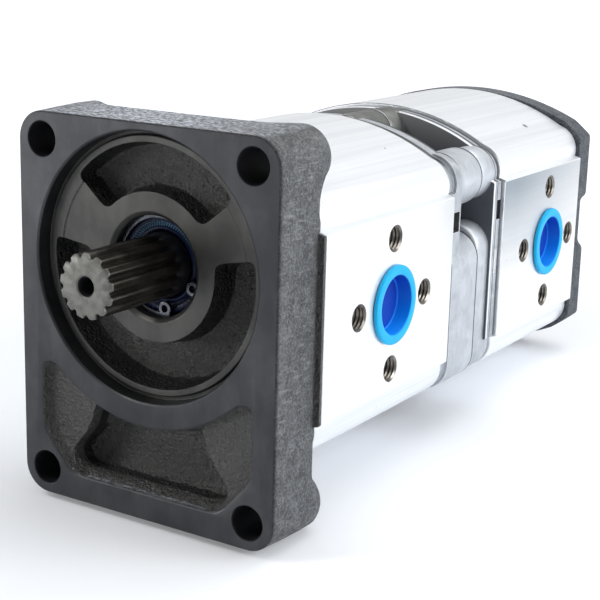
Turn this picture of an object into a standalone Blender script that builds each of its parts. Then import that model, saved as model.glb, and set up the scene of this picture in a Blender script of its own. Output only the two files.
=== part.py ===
"""Tandem external gear pump: a cast front cover with its mounting flange, two extruded bodies
with a meshed pair of gears in each, a two-part adapter between them and a cast rear cover.

Metres, +Z up. The drive shaft lies along Y, its splined end towards -Y. Inside the script every
place is given from the point where the drive shaft's axis meets the flange's front face; the
empty named pump_frame carries that point to its place above the part's origin, which lies on the
resting plane under the middle of the pump.
"""

from math import acos, asin, atan2, ceil, cos, degrees, hypot, pi, radians, sin, sqrt, tan

import bmesh
import bpy

# Mounting flange and front cover
FLANGE_WIDTH = 0.0906
FLANGE_TOP = 0.0413
FLANGE_BOTTOM = 0.0748
FLANGE_CORNER = 0.0085
FLANGE_THICKNESS = 0.0182
FLANGE_DRAFT = 0.0009
HOLE_SPACING_X = 0.0734
HOLE_SPACING_Z = 0.1000
HOLE_ABOVE_SHAFT = 0.0333
HOLE_DIAMETER = 0.0100
HOLE_BOSS_DIAMETER = 0.0176
HOLE_BOSS_REACH = 0.0260
HOLE_BOSS_FLARE = 0.0042
PILOT_DIAMETER = 0.0778
PILOT_DEPTH = 0.0040
PILOT_GROOVE_WIDTH = 0.0014
PILOT_GROOVE_DEPTH = 0.0014
PILOT_RING_WIDTH = 0.0047
SPOKE_STEP = 0.0003
HUB_DIAMETER = 0.0432
POCKET_RIM = 0.0034
POCKET_DEPTH = 0.0068
LOWER_POCKET_DEPTH = 0.0090
UPPER_POCKET_FROM = radians(39.0)
UPPER_POCKET_TO = radians(138.5)
LOWER_POCKET_FROM = radians(172.5)
LOWER_POCKET_TO = radians(371.0)
POCKET_CORNER = 0.0026
APRON_RADIUS = 0.0458
APRON_WIDTH = 0.0748
APRON_DROP = 0.0535
APRON_FOOT_DROP = 0.0660
APRON_FOOT_WIDTH = 0.0530
APRON_DEPTH = 0.0026
TROUGH_TOP_WIDTH = 0.0380
TROUGH_WIDTH = 0.0576
TROUGH_DROP = 0.0600
TROUGH_DEPTH = 0.0110
TROUGH_INSET = 0.0008
FRONT_COVER_LENGTH = 0.0190

# Stack of sections along the shaft
FRONT_BODY_LENGTH = 0.0773
ADAPTER_FRONT_LENGTH = 0.0228
ADAPTER_REAR_LENGTH = 0.0140
REAR_BODY_LENGTH = 0.0669
REAR_COVER_LENGTH = 0.0108
CLEARANCE = 0.0003

# Extruded section shared by the bodies
BODY_WIDTH = 0.0964
BODY_HEIGHT = 0.0980
PAD_HEIGHT = 0.0543
PAD_REACH = 0.0021
TIE_SPACING_Z = 0.0594
LOBE_RADIUS = 0.0090
LOBE_START = radians(76.0)
LOBE_END = radians(-12.0)

# Gears and shafts
GEAR_CENTRES = 0.0280
GEAR_TEETH = 12
PRESSURE_ANGLE = radians(25.0)
ADDENDUM_SHARE = 1.0
DEDENDUM_SHARE = 1.22
BACKLASH = 0.0003
FRONT_GEAR_WIDTH = 0.0280
REAR_GEAR_WIDTH = 0.0200
JOURNAL_DIAMETER = 0.0180
SHAFT_REACH = 0.0243
SHAFT_END_CHAMFER = 0.0008
SPLINE_TEETH = 13
SPLINE_DIAMETER = 0.0184
SPLINE_ROOT_DIAMETER = 0.0158
SPLINE_RUN_OUT = 0.0052
SPLINE_TIP_SHARE = 0.52
SPLINE_ROOT_SHARE = 0.68
SEAL_LAND_DIAMETER = 0.0190
CENTRE_HOLE_DIAMETER = 0.0048
CENTRE_HOLE_DEPTH = 0.0090
COUPLING_TEETH = 9
COUPLING_STUB_DIAMETER = 0.0150
COUPLING_STUB_ROOT = 0.0126
COUPLING_STUB_LENGTH = 0.0125
SLEEVE_DIAMETER = 0.0220
SLEEVE_LENGTH = 0.0250

# Bearing blocks, bushes and seals
BUSH_WALL = 0.0018
BLOCK_RELIEF_WIDTH = 0.0070
BLOCK_RELIEF_HEIGHT = 0.0030
BLOCK_RELIEF_DEPTH = 0.0015
BLOCK_SEAL_WIDTH = 0.0014
BLOCK_SEAL_DEPTH = 0.0012
BLOCK_EDGE = 0.0012
SECTION_SEAL_WALL = 0.0026
SECTION_SEAL_WIDTH = 0.0018
SECTION_SEAL_DEPTH = 0.0016
SHAFT_SEAL_DIAMETER = 0.0290
SHAFT_SEAL_LENGTH = 0.0070
SHAFT_SEAL_BACK = 0.0028
SEAL_BORE_CHAMFER = 0.0011
CIRCLIP_THICKNESS = 0.0012
CIRCLIP_WIDTH = 0.0017
CIRCLIP_GROOVE_DEPTH = 0.0009
CIRCLIP_GAP_MIDDLE = radians(-53.0)
CIRCLIP_GAP = radians(46.0)
CIRCLIP_EAR_RADIUS = 0.0021
CIRCLIP_EAR_HOLE = 0.0011

# Ports, with their bolt circles and plugs
INLET_DIAMETER = 0.0200
INLET_BOLT_CIRCLE = 0.0400
INLET_BOLT_DIAMETER = 0.0072
OUTLET_DIAMETER = 0.0150
OUTLET_BOLT_CIRCLE = 0.0350
OUTLET_BOLT_DIAMETER = 0.0056
BOLT_HOLE_DEPTH = 0.0130
BOLT_HOLE_CHAMFER = 0.0005
FRONT_PORT_SHIFT = 0.0004
REAR_PORT_SHIFT = 0.0056
PLUG_RIM_OVERHANG = 0.0021
PLUG_RIM_THICKNESS = 0.0012
PLUG_WALL = 0.0007
PLUG_CUP_DEPTH = 0.0056
PLUG_LENGTH = 0.0100

# Adapter
ADAPTER_INSET = 0.0008
ADAPTER_SIDE_INSET = 0.0022
ADAPTER_FRONT_RIM = 0.0090
ADAPTER_REAR_RIM = 0.0056
ADAPTER_FRONT_LOBE = 0.0094
ADAPTER_REAR_LOBE = 0.0088
ADAPTER_COLUMN_TOP = 0.0024
ADAPTER_COLUMN_STEP = 0.0024
ADAPTER_HUB_DIAMETER = 0.0370
VENT_BOSS_DIAMETER = 0.0150
VENT_BOSS_X = 0.0045
VENT_BOSS_DROP = 0.0078
VENT_HOLE_DIAMETER = 0.0076
VENT_HOLE_DEPTH = 0.0040
NOTCH_HEIGHT = 0.0066
NOTCH_RISE = 0.0176
NOTCH_FRONT_WIDTH = 0.0082
NOTCH_REAR_WIDTH = 0.0030
NOTCH_DEPTH = 0.0030

# Rear cover
CORNER_BLOCK_INSET = 0.0007
CORNER_BLOCK_HEIGHT = 0.0694
CORNER_CUT_X = 0.0062
CORNER_CUT_Z = 0.0050
SIDE_NOTCH_HEIGHT = 0.0185
SIDE_NOTCH_RISE = 0.0017
SIDE_NOTCH_DEPTH = 0.0020
HEAD_POCKET_DIAMETER = 0.0172
HEAD_POCKET_DEPTH = 0.0042
BACK_PAD_WIDTH = 0.0420
BACK_PAD_HEIGHT = 0.0700
BACK_PAD_RISE = 0.0025
BACK_PAD_CORNER = 0.0016

# Fasteners and dowels
TIE_BOLT_DIAMETER = 0.0080
TIE_BOLT_GRIP = 0.0110
TIE_HEAD_FLATS = 0.0130
TIE_HEAD_HEIGHT = 0.0053
WASHER_DIAMETER = 0.0160
WASHER_THICKNESS = 0.0016
DOWEL_DIAMETER = 0.0050
DOWEL_LENGTH = 0.0090
DOWEL_INSET = 0.0031

# Facets
FINE = 32
MEDIUM = 18
COARSE = 16
SMALL = 8

# Places that follow from the sizes above, measured along the shaft from the flange face
FRONT_BODY_START = FRONT_COVER_LENGTH + CLEARANCE
FRONT_BODY_END = FRONT_BODY_START + FRONT_BODY_LENGTH
ADAPTER_START = FRONT_BODY_END + CLEARANCE
PARTING = ADAPTER_START + ADAPTER_FRONT_LENGTH
ADAPTER_REAR_START = PARTING + CLEARANCE
ADAPTER_END = ADAPTER_REAR_START + ADAPTER_REAR_LENGTH
REAR_BODY_START = ADAPTER_END + CLEARANCE
REAR_BODY_END = REAR_BODY_START + REAR_BODY_LENGTH
REAR_COVER_START = REAR_BODY_END + CLEARANCE
REAR_COVER_END = REAR_COVER_START + REAR_COVER_LENGTH
FRONT_PORT_Y = (FRONT_BODY_START + FRONT_BODY_END) / 2 + FRONT_PORT_SHIFT
REAR_PORT_Y = (REAR_BODY_START + REAR_BODY_END) / 2 + REAR_PORT_SHIFT
BODY_CENTRE_Z = -GEAR_CENTRES / 2
TIE_SPACING_X = BODY_WIDTH - 2 * (LOBE_RADIUS + PAD_REACH)
CORNER_BLOCK_WIDTH = BODY_WIDTH - 2 * CORNER_BLOCK_INSET
DOWEL_SPACING = TIE_SPACING_X - 2 * DOWEL_INSET
PITCH_RADIUS = GEAR_CENTRES / 2
GEAR_MODULE = GEAR_CENTRES / GEAR_TEETH
TIP_RADIUS = PITCH_RADIUS + ADDENDUM_SHARE * GEAR_MODULE
ROOT_RADIUS = PITCH_RADIUS - DEDENDUM_SHARE * GEAR_MODULE
CHAMBER_RADIUS = TIP_RADIUS + CLEARANCE
BLOCK_RADIUS = CHAMBER_RADIUS - CLEARANCE
JOURNAL_RADIUS = JOURNAL_DIAMETER / 2
BUSH_INNER = JOURNAL_RADIUS + CLEARANCE
BUSH_OUTER = BUSH_INNER + BUSH_WALL
SEAT_DEPTH = PILOT_DEPTH + SPOKE_STEP
SEAL_FACE = FRONT_COVER_LENGTH - SHAFT_SEAL_BACK - SHAFT_SEAL_LENGTH
CIRCLIP_BACK = SEAL_FACE - CLEARANCE
HEAD_SEAT_Y = REAR_COVER_END - HEAD_POCKET_DEPTH
WASHER_START = HEAD_SEAT_Y + CLEARANCE
HEAD_START = WASHER_START + WASHER_THICKNESS + CLEARANCE
HEAD_END = HEAD_START + TIE_HEAD_HEIGHT
PUMP_END = max(HEAD_END, REAR_COVER_END + BACK_PAD_RISE)
TIE_PLACES = [
    (side * TIE_SPACING_X / 2, BODY_CENTRE_Z + level * TIE_SPACING_Z / 2)
    for side in (1, -1)
    for level in (1, -1)
]
FLANGE_HOLES = [
    (side * HOLE_SPACING_X / 2, HOLE_ABOVE_SHAFT - drop * HOLE_SPACING_Z)
    for side in (1, -1)
    for drop in (0, 1)
]
DOWEL_PLACES = [(side * DOWEL_SPACING / 2, BODY_CENTRE_Z) for side in (1, -1)]

ALONG_SHAFT = (-pi / 2, 0, 0)


# Scene, materials and collections


def clear_scene():
    for item in list(bpy.data.objects):
        bpy.data.objects.remove(item, do_unlink=True)


def new_collection(name):
    collection = bpy.data.collections.new(name)
    bpy.context.scene.collection.children.link(collection)
    return collection


def finish(name, colour, roughness, metallic):
    """A Principled material of one colour."""
    material = bpy.data.materials.new(name)
    material.use_nodes = True
    shader = material.node_tree.nodes["Principled BSDF"]
    shader.inputs["Base Color"].default_value = (*colour, 1.0)
    shader.inputs["Roughness"].default_value = roughness
    shader.inputs["Metallic"].default_value = metallic
    return material


# Outlines, as points (x, z) seen along the shaft


def arc(centre, radius, start, end, steps):
    """Points on a round stretch, both ends included."""
    turn = (end - start) / steps
    angles = [start + turn * i for i in range(steps + 1)]
    return [(centre[0] + radius * cos(a), centre[1] + radius * sin(a)) for a in angles]


def circle(centre, radius, steps):
    """A full circle, turned a little so that no two of its points lie level."""
    return arc(centre, radius, 0.11, 0.11 + 2 * pi, steps)[:-1]


def soft_corner(before, corner, after, steps=3):
    """A rounded corner between two points that lie on its sides."""
    points = []
    for i in range(steps + 1):
        t = i / steps
        weights = ((1 - t) ** 2, 2 * t * (1 - t), t**2)
        trio = (before, corner, after)
        points.append(tuple(sum(w * p[k] for w, p in zip(weights, trio)) for k in (0, 1)))
    return points


def rounded_polygon(corners, radius, steps=3):
    """A polygon whose corners are all rounded by about the same radius."""
    points = []
    for i, corner in enumerate(corners):
        sides = []
        for neighbour in (corners[i - 1], corners[(i + 1) % len(corners)]):
            length = hypot(neighbour[0] - corner[0], neighbour[1] - corner[1])
            share = min(radius, length * 0.45) / length
            sides.append(tuple(corner[k] + share * (neighbour[k] - corner[k]) for k in (0, 1)))
        points += soft_corner(sides[0], corner, sides[1], steps)
    return points


def mirrored(quarter, centre_z=0.0):
    """A closed outline from its upper right quarter, which runs from the top to the right side."""
    right = quarter + [(x, -z) for x, z in reversed(quarter)]
    left = [(-x, z) for x, z in reversed(right)]
    outline = []
    for x, z in right + left:
        point = (x, z + centre_z)
        if not outline or hypot(point[0] - outline[-1][0], point[1] - outline[-1][1]) > 1e-6:
            outline.append(point)
    if hypot(outline[0][0] - outline[-1][0], outline[0][1] - outline[-1][1]) < 1e-6:
        outline.pop()
    return outline


def body_outline(inset=0.0, side_inset=0.0):
    """The extrusion's section: a crown, a round lobe about each tie bolt and flat port pads."""
    lobe = (TIE_SPACING_X / 2, TIE_SPACING_Z / 2)
    radius = LOBE_RADIUS - inset
    top = BODY_HEIGHT / 2 - inset
    lobe_points = arc(lobe, radius, LOBE_START, LOBE_END, 6)
    side = max(BODY_WIDTH / 2 - inset - side_inset, lobe_points[-1][0])
    meet_x, meet_z = lobe_points[0]
    drop = top - meet_z
    crown_radius = (meet_x**2 + drop**2) / (2 * drop)
    sweep = asin(meet_x / crown_radius)
    crown = arc((0, top - crown_radius), crown_radius, pi / 2, pi / 2 - sweep, 7)[:-1]
    pad = [(side, min(PAD_HEIGHT / 2, lobe_points[-1][1] - 0.0005))]
    return mirrored(crown + lobe_points + pad, BODY_CENTRE_Z)


def stadium(radius, steps):
    """A racetrack round both gear axes."""
    upper = arc((0, 0), radius, 0, pi, steps)
    lower = arc((0, -GEAR_CENTRES), radius, pi, 2 * pi, steps)
    return upper + lower


def figure_eight(radius, steps):
    """Two round bores on the gear axes, run together."""
    waist = acos(GEAR_CENTRES / 2 / radius)
    upper = arc((0, 0), radius, waist - pi / 2, 3 * pi / 2 - waist, steps)
    lower = arc((0, -GEAR_CENTRES), radius, waist + pi / 2, 5 * pi / 2 - waist, steps)
    return upper[:-1] + lower[:-1]


def three_shape(outer, inner, steps):
    """Half of a band round both gear axes, open to one side, with a prong between them: a 3."""
    waist = acos(GEAR_CENTRES / 2 / outer)
    low = (0, -GEAR_CENTRES)
    return (
        arc((0, 0), outer, pi / 2, waist - pi / 2, steps)
        + arc(low, outer, pi / 2 - waist, -pi / 2, steps)[1:]
        + arc(low, inner, -pi / 2, pi / 2, steps)
        + arc((0, 0), inner, -pi / 2, pi / 2, steps)
    )


def ring_sector(inner, outer, start, end, corner, steps):
    """Part of a ring, with softened corners."""
    points = []
    for radius, first, last, inward in (
        (outer, start, end, inner - outer),
        (inner, end, start, outer - inner),
    ):
        trim = corner / radius * (1 if last > first else -1)
        step = corner * (1 if inward > 0 else -1)

        def at(angle, r):
            return (r * cos(angle), r * sin(angle))

        points += soft_corner(at(first, radius + step), at(first, radius), at(first + trim, radius))
        points += arc((0, 0), radius, first + trim, last - trim, steps)[1:-1]
        points += soft_corner(at(last - trim, radius), at(last, radius), at(last, radius + step))
    return points


def gear_outline(tooth_at, points_per_flank=3):
    """An involute gear with one tooth centred on an angle."""
    base = PITCH_RADIUS * cos(PRESSURE_ANGLE)
    pitch_inv = tan(PRESSURE_ANGLE) - PRESSURE_ANGLE
    half_tooth = (pi * GEAR_MODULE / 2 - BACKLASH) / 2 / PITCH_RADIUS
    flank = []
    for i in range(points_per_flank):
        radius = max(base, ROOT_RADIUS)
        radius += (TIP_RADIUS - radius) * i / (points_per_flank - 1)
        angle = acos(min(1.0, base / radius))
        flank.append((radius, half_tooth + pitch_inv - (tan(angle) - angle)))
    root_angle = flank[0][1] + 0.25 * (pi / GEAR_TEETH - flank[0][1])
    side = [(ROOT_RADIUS, root_angle)] + flank
    outline = []
    for tooth in range(GEAR_TEETH):
        middle = tooth_at + 2 * pi * tooth / GEAR_TEETH
        for radius, half in side:
            outline.append((radius * cos(middle - half), radius * sin(middle - half)))
        for radius, half in reversed(side):
            outline.append((radius * cos(middle + half), radius * sin(middle + half)))
    return outline


def spline_outline(teeth, outer, root, clearance=0.0):
    """A splined section; a clearance widens it into the bore that fits round it."""
    pitch = 2 * pi / teeth
    tip = SPLINE_TIP_SHARE * pitch / 2 + clearance / outer
    foot = SPLINE_ROOT_SHARE * pitch / 2 + clearance / root
    outer += clearance
    root += clearance
    outline = []
    for tooth in range(teeth):
        middle = pi / 2 + tooth * pitch
        for radius, angle in ((root, -foot), (outer, -tip), (outer, 0), (outer, tip), (root, foot)):
            outline.append((radius * cos(middle + angle), radius * sin(middle + angle)))
    return outline


# Solids


class Shop:
    """Makes solids in the pump's frame and files them as parts or as cutters."""

    def __init__(self):
        self.parts = new_collection("gear_pump")
        self.cutters = new_collection("cutters")
        self.frame = bpy.data.objects.new("pump_frame", None)
        middle = (PUMP_END - SHAFT_REACH) / 2
        self.frame.location = (0, -middle, FLANGE_BOTTOM + FLANGE_DRAFT)
        self.parts.objects.link(self.frame)
        bpy.context.view_layer.update()

    def place(self, item, location=(0, 0, 0), rotation=(0, 0, 0), cutter=False):
        (self.cutters if cutter else self.parts).objects.link(item)
        item.parent = self.frame
        item.location = location
        item.rotation_euler = rotation
        if cutter:
            item.hide_render = True
            item.display_type = "WIRE"
        bpy.context.view_layer.update()
        return item

    def extruded(self, name, outlines, start, end, at=(0, 0), cutter=False):
        """Outlines in the shaft's cross plane, the later ones holes in the first, made solid."""
        curve = bpy.data.curves.new(name, "CURVE")
        curve.dimensions = "2D"
        curve.fill_mode = "BOTH"
        curve.extrude = (end - start) / 2
        for outline in outlines:
            spline = curve.splines.new("POLY")
            spline.points.add(len(outline) - 1)
            for point, (x, z) in zip(spline.points, outline):
                point.co = (x, z, 0, 1)
            spline.use_cyclic_u = True
        drawn = bpy.data.objects.new(name + "_outline", curve)
        self.place(drawn, (at[0], (start + end) / 2, at[1]), (pi / 2, 0, 0), cutter)
        solid = self.as_mesh(drawn, name, cutter)
        bpy.data.objects.remove(drawn, do_unlink=True)
        bpy.data.curves.remove(curve)
        return solid

    def as_mesh(self, source, name, cutter):
        graph = bpy.context.evaluated_depsgraph_get()
        mesh = bpy.data.meshes.new_from_object(source.evaluated_get(graph))
        work = bmesh.new()
        work.from_mesh(mesh)
        bmesh.ops.remove_doubles(work, verts=work.verts, dist=1e-6)
        bmesh.ops.recalc_face_normals(work, faces=work.faces)
        work.to_mesh(mesh)
        work.free()
        solid = bpy.data.objects.new(name, mesh)
        return self.place(solid, source.location, source.rotation_euler, cutter)

    def turned(self, name, profile, steps, at=(0, 0, 0), rotation=ALONG_SHAFT, ring=False, cutter=False):
        """A profile of (radius, place along the axis), outer side first from the far end."""
        mesh = bpy.data.meshes.new(name)
        points = [(radius, 0, along) for radius, along in profile]
        edges = [(i, i + 1) for i in range(len(points) - 1)]
        if ring:
            edges.append((len(points) - 1, 0))
        mesh.from_pydata(points, edges, [])
        solid = self.place(bpy.data.objects.new(name, mesh), at, rotation, cutter)
        screw = solid.modifiers.new("Turn", "SCREW")
        screw.axis = "Z"
        screw.steps = steps
        screw.render_steps = steps
        screw.use_merge_vertices = True
        screw.merge_threshold = 1e-6
        screw.use_smooth_shade = True
        return solid

    def rod(self, name, radius, start, end, at=(0, 0), steps=COARSE, cutter=False):
        """A plain cylinder along the shaft."""
        bpy.ops.mesh.primitive_cylinder_add(
            vertices=steps, radius=radius, depth=end - start, end_fill_type="NGON"
        )
        middle = (at[0], (start + end) / 2, at[1])
        return self.adopt(name, middle, (pi / 2, 0.07, 0), cutter)

    def tube(self, name, outer, inner, start, end, at=(0, 0), steps=COARSE):
        profile = [(outer, end), (outer, start), (inner, start), (inner, end)]
        return self.turned(name, profile, steps, (at[0], 0, at[1]), ring=True)

    def block(self, name, low, high, cutter=True):
        bpy.ops.mesh.primitive_cube_add(size=1)
        size = [b - a for a, b in zip(low, high)]
        for vertex in bpy.context.object.data.vertices:
            vertex.co = [vertex.co[k] * size[k] for k in range(3)]
        middle = [(a + b) / 2 for a, b in zip(low, high)]
        return self.adopt(name, middle, (0, 0, 0), cutter)

    def adopt(self, name, location, rotation, cutter):
        """File the primitive just added under its own name."""
        item = bpy.context.object
        for old in item.users_collection:
            old.objects.unlink(item)
        item.name = name
        return self.place(item, location, rotation, cutter)


def combine(body, tool, how):
    step = body.modifiers.new(f"{how.title()} {tool.name}", "BOOLEAN")
    step.operation = how
    step.solver = "EXACT"
    step.object = tool


def cut(body, *tools):
    for tool in tools:
        combine(body, tool, "DIFFERENCE")


def join(body, *tools):
    for tool in tools:
        combine(body, tool, "UNION")


def paint(material, *pieces):
    for piece in pieces:
        piece.data.materials.clear()
        piece.data.materials.append(material)


# Front cover, shaft seal and circlip


def flange_outline(grow=0.0):
    half = FLANGE_WIDTH / 2 + grow
    top = FLANGE_TOP + grow
    bottom = -FLANGE_BOTTOM - grow
    corners = [(half, top), (-half, top), (-half, bottom), (half, bottom)]
    return rounded_polygon(corners, FLANGE_CORNER + grow, 4)


def flange_blank(shop):
    """The flange as a plate that widens a little from its face to its back."""
    half = FLANGE_WIDTH / 2
    half_height = (FLANGE_TOP + FLANGE_BOTTOM) / 2
    middle = FLANGE_TOP - half_height
    blank = shop.extruded("front_cover", [flange_outline()], 0, FLANGE_THICKNESS)
    for vertex in blank.data.vertices:
        if vertex.co.z < 0:
            vertex.co.x *= 1 + FLANGE_DRAFT / half
            vertex.co.y = middle + (vertex.co.y - middle) * (1 + FLANGE_DRAFT / half_height)
    return blank


def hole_boss(shop, place):
    """The boss round a mounting hole, which flares into the flange's back inside its outline."""
    radius = HOLE_BOSS_DIAMETER / 2
    core = HOLE_DIAMETER / 4
    base = FLANGE_THICKNESS / 2
    back = FLANGE_THICKNESS - CLEARANCE
    profile = [
        (core, base),
        (radius + HOLE_BOSS_FLARE, base),
        (radius + HOLE_BOSS_FLARE, back),
        (radius + 0.3 * HOLE_BOSS_FLARE, back + 0.4 * HOLE_BOSS_FLARE),
        (radius, back + 1.2 * HOLE_BOSS_FLARE),
        (radius - HOLE_BOSS_FLARE / 10, HOLE_BOSS_REACH),
        (core, HOLE_BOSS_REACH),
    ]
    return shop.turned("hole_boss", profile, MEDIUM, (place[0], 0, place[1]), ring=True, cutter=True)


def face_recess(shop):
    """The turned recess: pilot wall, groove, ring, spokes and the stepped seal bore."""
    pilot = PILOT_DIAMETER / 2
    ring_outer = pilot - PILOT_GROOVE_WIDTH
    ring_inner = ring_outer - PILOT_RING_WIDTH
    bore = SHAFT_SEAL_DIAMETER / 2 + CLEARANCE
    groove_front = CIRCLIP_BACK - CIRCLIP_THICKNESS - CLEARANCE
    shaft_hole = SEAL_LAND_DIAMETER / 2 + CLEARANCE
    lead = SHAFT_END_CHAMFER / 2
    profile = [
        (0, FRONT_COVER_LENGTH + 0.001),
        (shaft_hole, FRONT_COVER_LENGTH + 0.001),
        (shaft_hole, SEAL_FACE + SHAFT_SEAL_LENGTH + CLEARANCE),
        (bore, SEAL_FACE + SHAFT_SEAL_LENGTH + CLEARANCE),
        (bore, CIRCLIP_BACK + CLEARANCE / 2),
        (bore + CIRCLIP_GROOVE_DEPTH, CIRCLIP_BACK + CLEARANCE / 2),
        (bore + CIRCLIP_GROOVE_DEPTH, groove_front),
        (bore, groove_front),
        (bore, SEAT_DEPTH + SEAL_BORE_CHAMFER),
        (bore + SEAL_BORE_CHAMFER, SEAT_DEPTH),
        (ring_inner, SEAT_DEPTH),
        (ring_inner, PILOT_DEPTH),
        (ring_outer, PILOT_DEPTH),
        (ring_outer, PILOT_DEPTH + PILOT_GROOVE_DEPTH),
        (pilot, PILOT_DEPTH + PILOT_GROOVE_DEPTH),
        (pilot, lead),
        (pilot + lead * 2, -lead),
        (0, -lead),
    ]
    return shop.turned("recess_cutter", profile, FINE, cutter=True)


def face_pockets(shop):
    """Cast pockets round the hub, left between two spokes."""
    outer = PILOT_DIAMETER / 2 - POCKET_RIM
    hub = HUB_DIAMETER / 2
    upper = ring_sector(hub, outer, UPPER_POCKET_FROM, UPPER_POCKET_TO, POCKET_CORNER, 9)
    lower = ring_sector(hub, outer, LOWER_POCKET_FROM, LOWER_POCKET_TO, POCKET_CORNER, 18)
    floor = SEAT_DEPTH + POCKET_DEPTH
    lower_floor = SEAT_DEPTH + LOWER_POCKET_DEPTH
    return (
        shop.extruded("upper_pocket_cutter", [upper], SEAT_DEPTH / 2, floor, cutter=True),
        shop.extruded("lower_pocket_cutter", [lower], SEAT_DEPTH / 2, lower_floor, cutter=True),
    )


def apron_pockets(shop):
    """The cast pocket below the pilot: a shallow field with a deep trough in its middle."""
    cutters = []
    for name, top_width, width, drop, depth, inset in (
        ("apron_cutter", APRON_WIDTH - 2 * POCKET_CORNER, APRON_WIDTH, APRON_DROP, APRON_DEPTH, 0),
        ("trough_cutter", TROUGH_TOP_WIDTH, TROUGH_WIDTH, TROUGH_DROP, TROUGH_DEPTH, TROUGH_INSET),
    ):
        radius = APRON_RADIUS + inset
        reach = asin(top_width / 2 / radius)
        bow = arc((0, 0), radius, reach - pi / 2, -reach - pi / 2, 8)
        shoulder = -drop if inset else bow[0][1] - POCKET_CORNER
        foot = APRON_FOOT_WIDTH / 2 - inset
        foot_drop = APRON_FOOT_DROP - inset
        corners = [
            (-width / 2, shoulder),
            (-width / 2, -drop),
            (-foot, -foot_drop),
            (foot, -foot_drop),
            (width / 2, -drop),
            (width / 2, shoulder),
        ]
        if inset:
            corners = corners[1:-1]
        path = [bow[-1]] + corners + [bow[0]]
        outline = list(bow[1:-1])
        for i in range(len(path)):
            here = path[i]
            before = path[i - 1] if i else bow[-2]
            after = path[i + 1] if i + 1 < len(path) else bow[1]
            sides = []
            for other in (before, after):
                length = hypot(other[0] - here[0], other[1] - here[1])
                share = min(POCKET_CORNER, 0.4 * length) / length
                sides.append(tuple(here[k] + share * (other[k] - here[k]) for k in (0, 1)))
            outline += soft_corner(sides[0], here, sides[1], 2)
        cutters.append(shop.extruded(name, [outline], -0.001, depth, cutter=True))
    return cutters


def make_front_cover(shop, iron):
    cover = flange_blank(shop)
    bosses = [hole_boss(shop, place) for place in FLANGE_HOLES]
    room_start, room_end = FLANGE_THICKNESS / 3, HOLE_BOSS_REACH + 0.001
    boss_room = shop.extruded("boss_room", [flange_outline(0.9 * FLANGE_DRAFT)], room_start, room_end, cutter=True)
    for boss in bosses:
        combine(boss, boss_room, "INTERSECT")
    seat = shop.extruded(
        "cover_seat", [body_outline()], FLANGE_THICKNESS - CLEARANCE, FRONT_COVER_LENGTH + 0.001, cutter=True
    )
    join(cover, seat, *bosses)
    room = shop.extruded(
        "body_room", [body_outline(-2 * CLEARANCE)], FRONT_COVER_LENGTH, HOLE_BOSS_REACH + 0.001, cutter=True
    )
    holes = [
        shop.rod("flange_hole", HOLE_DIAMETER / 2, -0.001, HOLE_BOSS_REACH + 0.001, place, MEDIUM, True)
        for place in FLANGE_HOLES
    ]
    grip = FRONT_COVER_LENGTH - TIE_BOLT_GRIP - CLEARANCE
    tapped = [
        shop.rod("tie_hole", TIE_BOLT_DIAMETER / 2 + CLEARANCE, grip, FRONT_COVER_LENGTH + 0.001, place,
                 SMALL, True)
        for place in TIE_PLACES
    ]
    cut(cover, room, face_recess(shop), *face_pockets(shop), *apron_pockets(shop), *holes, *tapped)
    cut(cover, *dowel_holes(shop, FRONT_COVER_LENGTH, FRONT_COVER_LENGTH))
    paint(iron, cover)
    return cover


def make_shaft_seal(shop, rubber):
    outer = SHAFT_SEAL_DIAMETER / 2
    lip = SEAL_LAND_DIAMETER / 2 + CLEARANCE
    front = SEAL_FACE
    back = SEAL_FACE + SHAFT_SEAL_LENGTH
    skin = SHAFT_SEAL_LENGTH * 0.2
    profile = [
        (outer, back),
        (outer, front + skin / 2),
        (outer - skin / 2, front),
        (outer - 2 * skin, front),
        (lip + skin / 2, front + skin / 2),
        (lip, front + skin),
        (lip + skin / 3, front + 2 * skin),
        (lip, front + 3 * skin),
        (lip + skin, back - skin / 2),
        (lip + 2 * skin, back - skin / 2),
        (outer - skin, front + 2 * skin),
        (outer - skin, back),
    ]
    seal = shop.turned("shaft_seal", profile, MEDIUM + 4, ring=True)
    paint(rubber, seal)
    return seal


def circlip_ear(inner):
    """One ear's edge as (radius, angle from the ear's middle), from the open end inwards."""
    middle = inner - CIRCLIP_EAR_RADIUS * 0.55
    turn = acos((middle**2 + inner**2 - CIRCLIP_EAR_RADIUS**2) / (2 * middle * inner))
    first = radians(50)
    last = atan2(-inner * sin(turn), inner * cos(turn) - middle) + 2 * pi
    edge = []
    for x, z in arc((middle, 0), CIRCLIP_EAR_RADIUS, first, last, 9):
        edge.append((hypot(x, z), atan2(z, x)))
    return edge, middle, turn


def make_circlip(shop, steel):
    outer = SHAFT_SEAL_DIAMETER / 2 + CIRCLIP_GROOVE_DEPTH
    inner = outer - CIRCLIP_WIDTH
    start = CIRCLIP_GAP_MIDDLE + CIRCLIP_GAP / 2
    end = CIRCLIP_GAP_MIDDLE + 2 * pi - CIRCLIP_GAP / 2
    edge, middle, turn = circlip_ear(inner)
    lean = CIRCLIP_EAR_RADIUS * 0.6 / middle
    band = arc((0, 0), outer, start, end, 28)
    band += [(r * cos(end - lean + a), r * sin(end - lean + a)) for r, a in edge]
    band += arc((0, 0), inner, end - lean - turn, start + lean + turn, 24)[1:-1]
    band += [(r * cos(start + lean - a), r * sin(start + lean - a)) for r, a in reversed(edge)]
    holes = [
        circle((middle * cos(angle), middle * sin(angle)), CIRCLIP_EAR_HOLE, SMALL)
        for angle in (start + lean, end - lean)
    ]
    clip = shop.extruded("seal_circlip", [band] + holes, CIRCLIP_BACK - CIRCLIP_THICKNESS, CIRCLIP_BACK)
    paint(steel, clip)
    return clip


# Bodies


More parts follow.
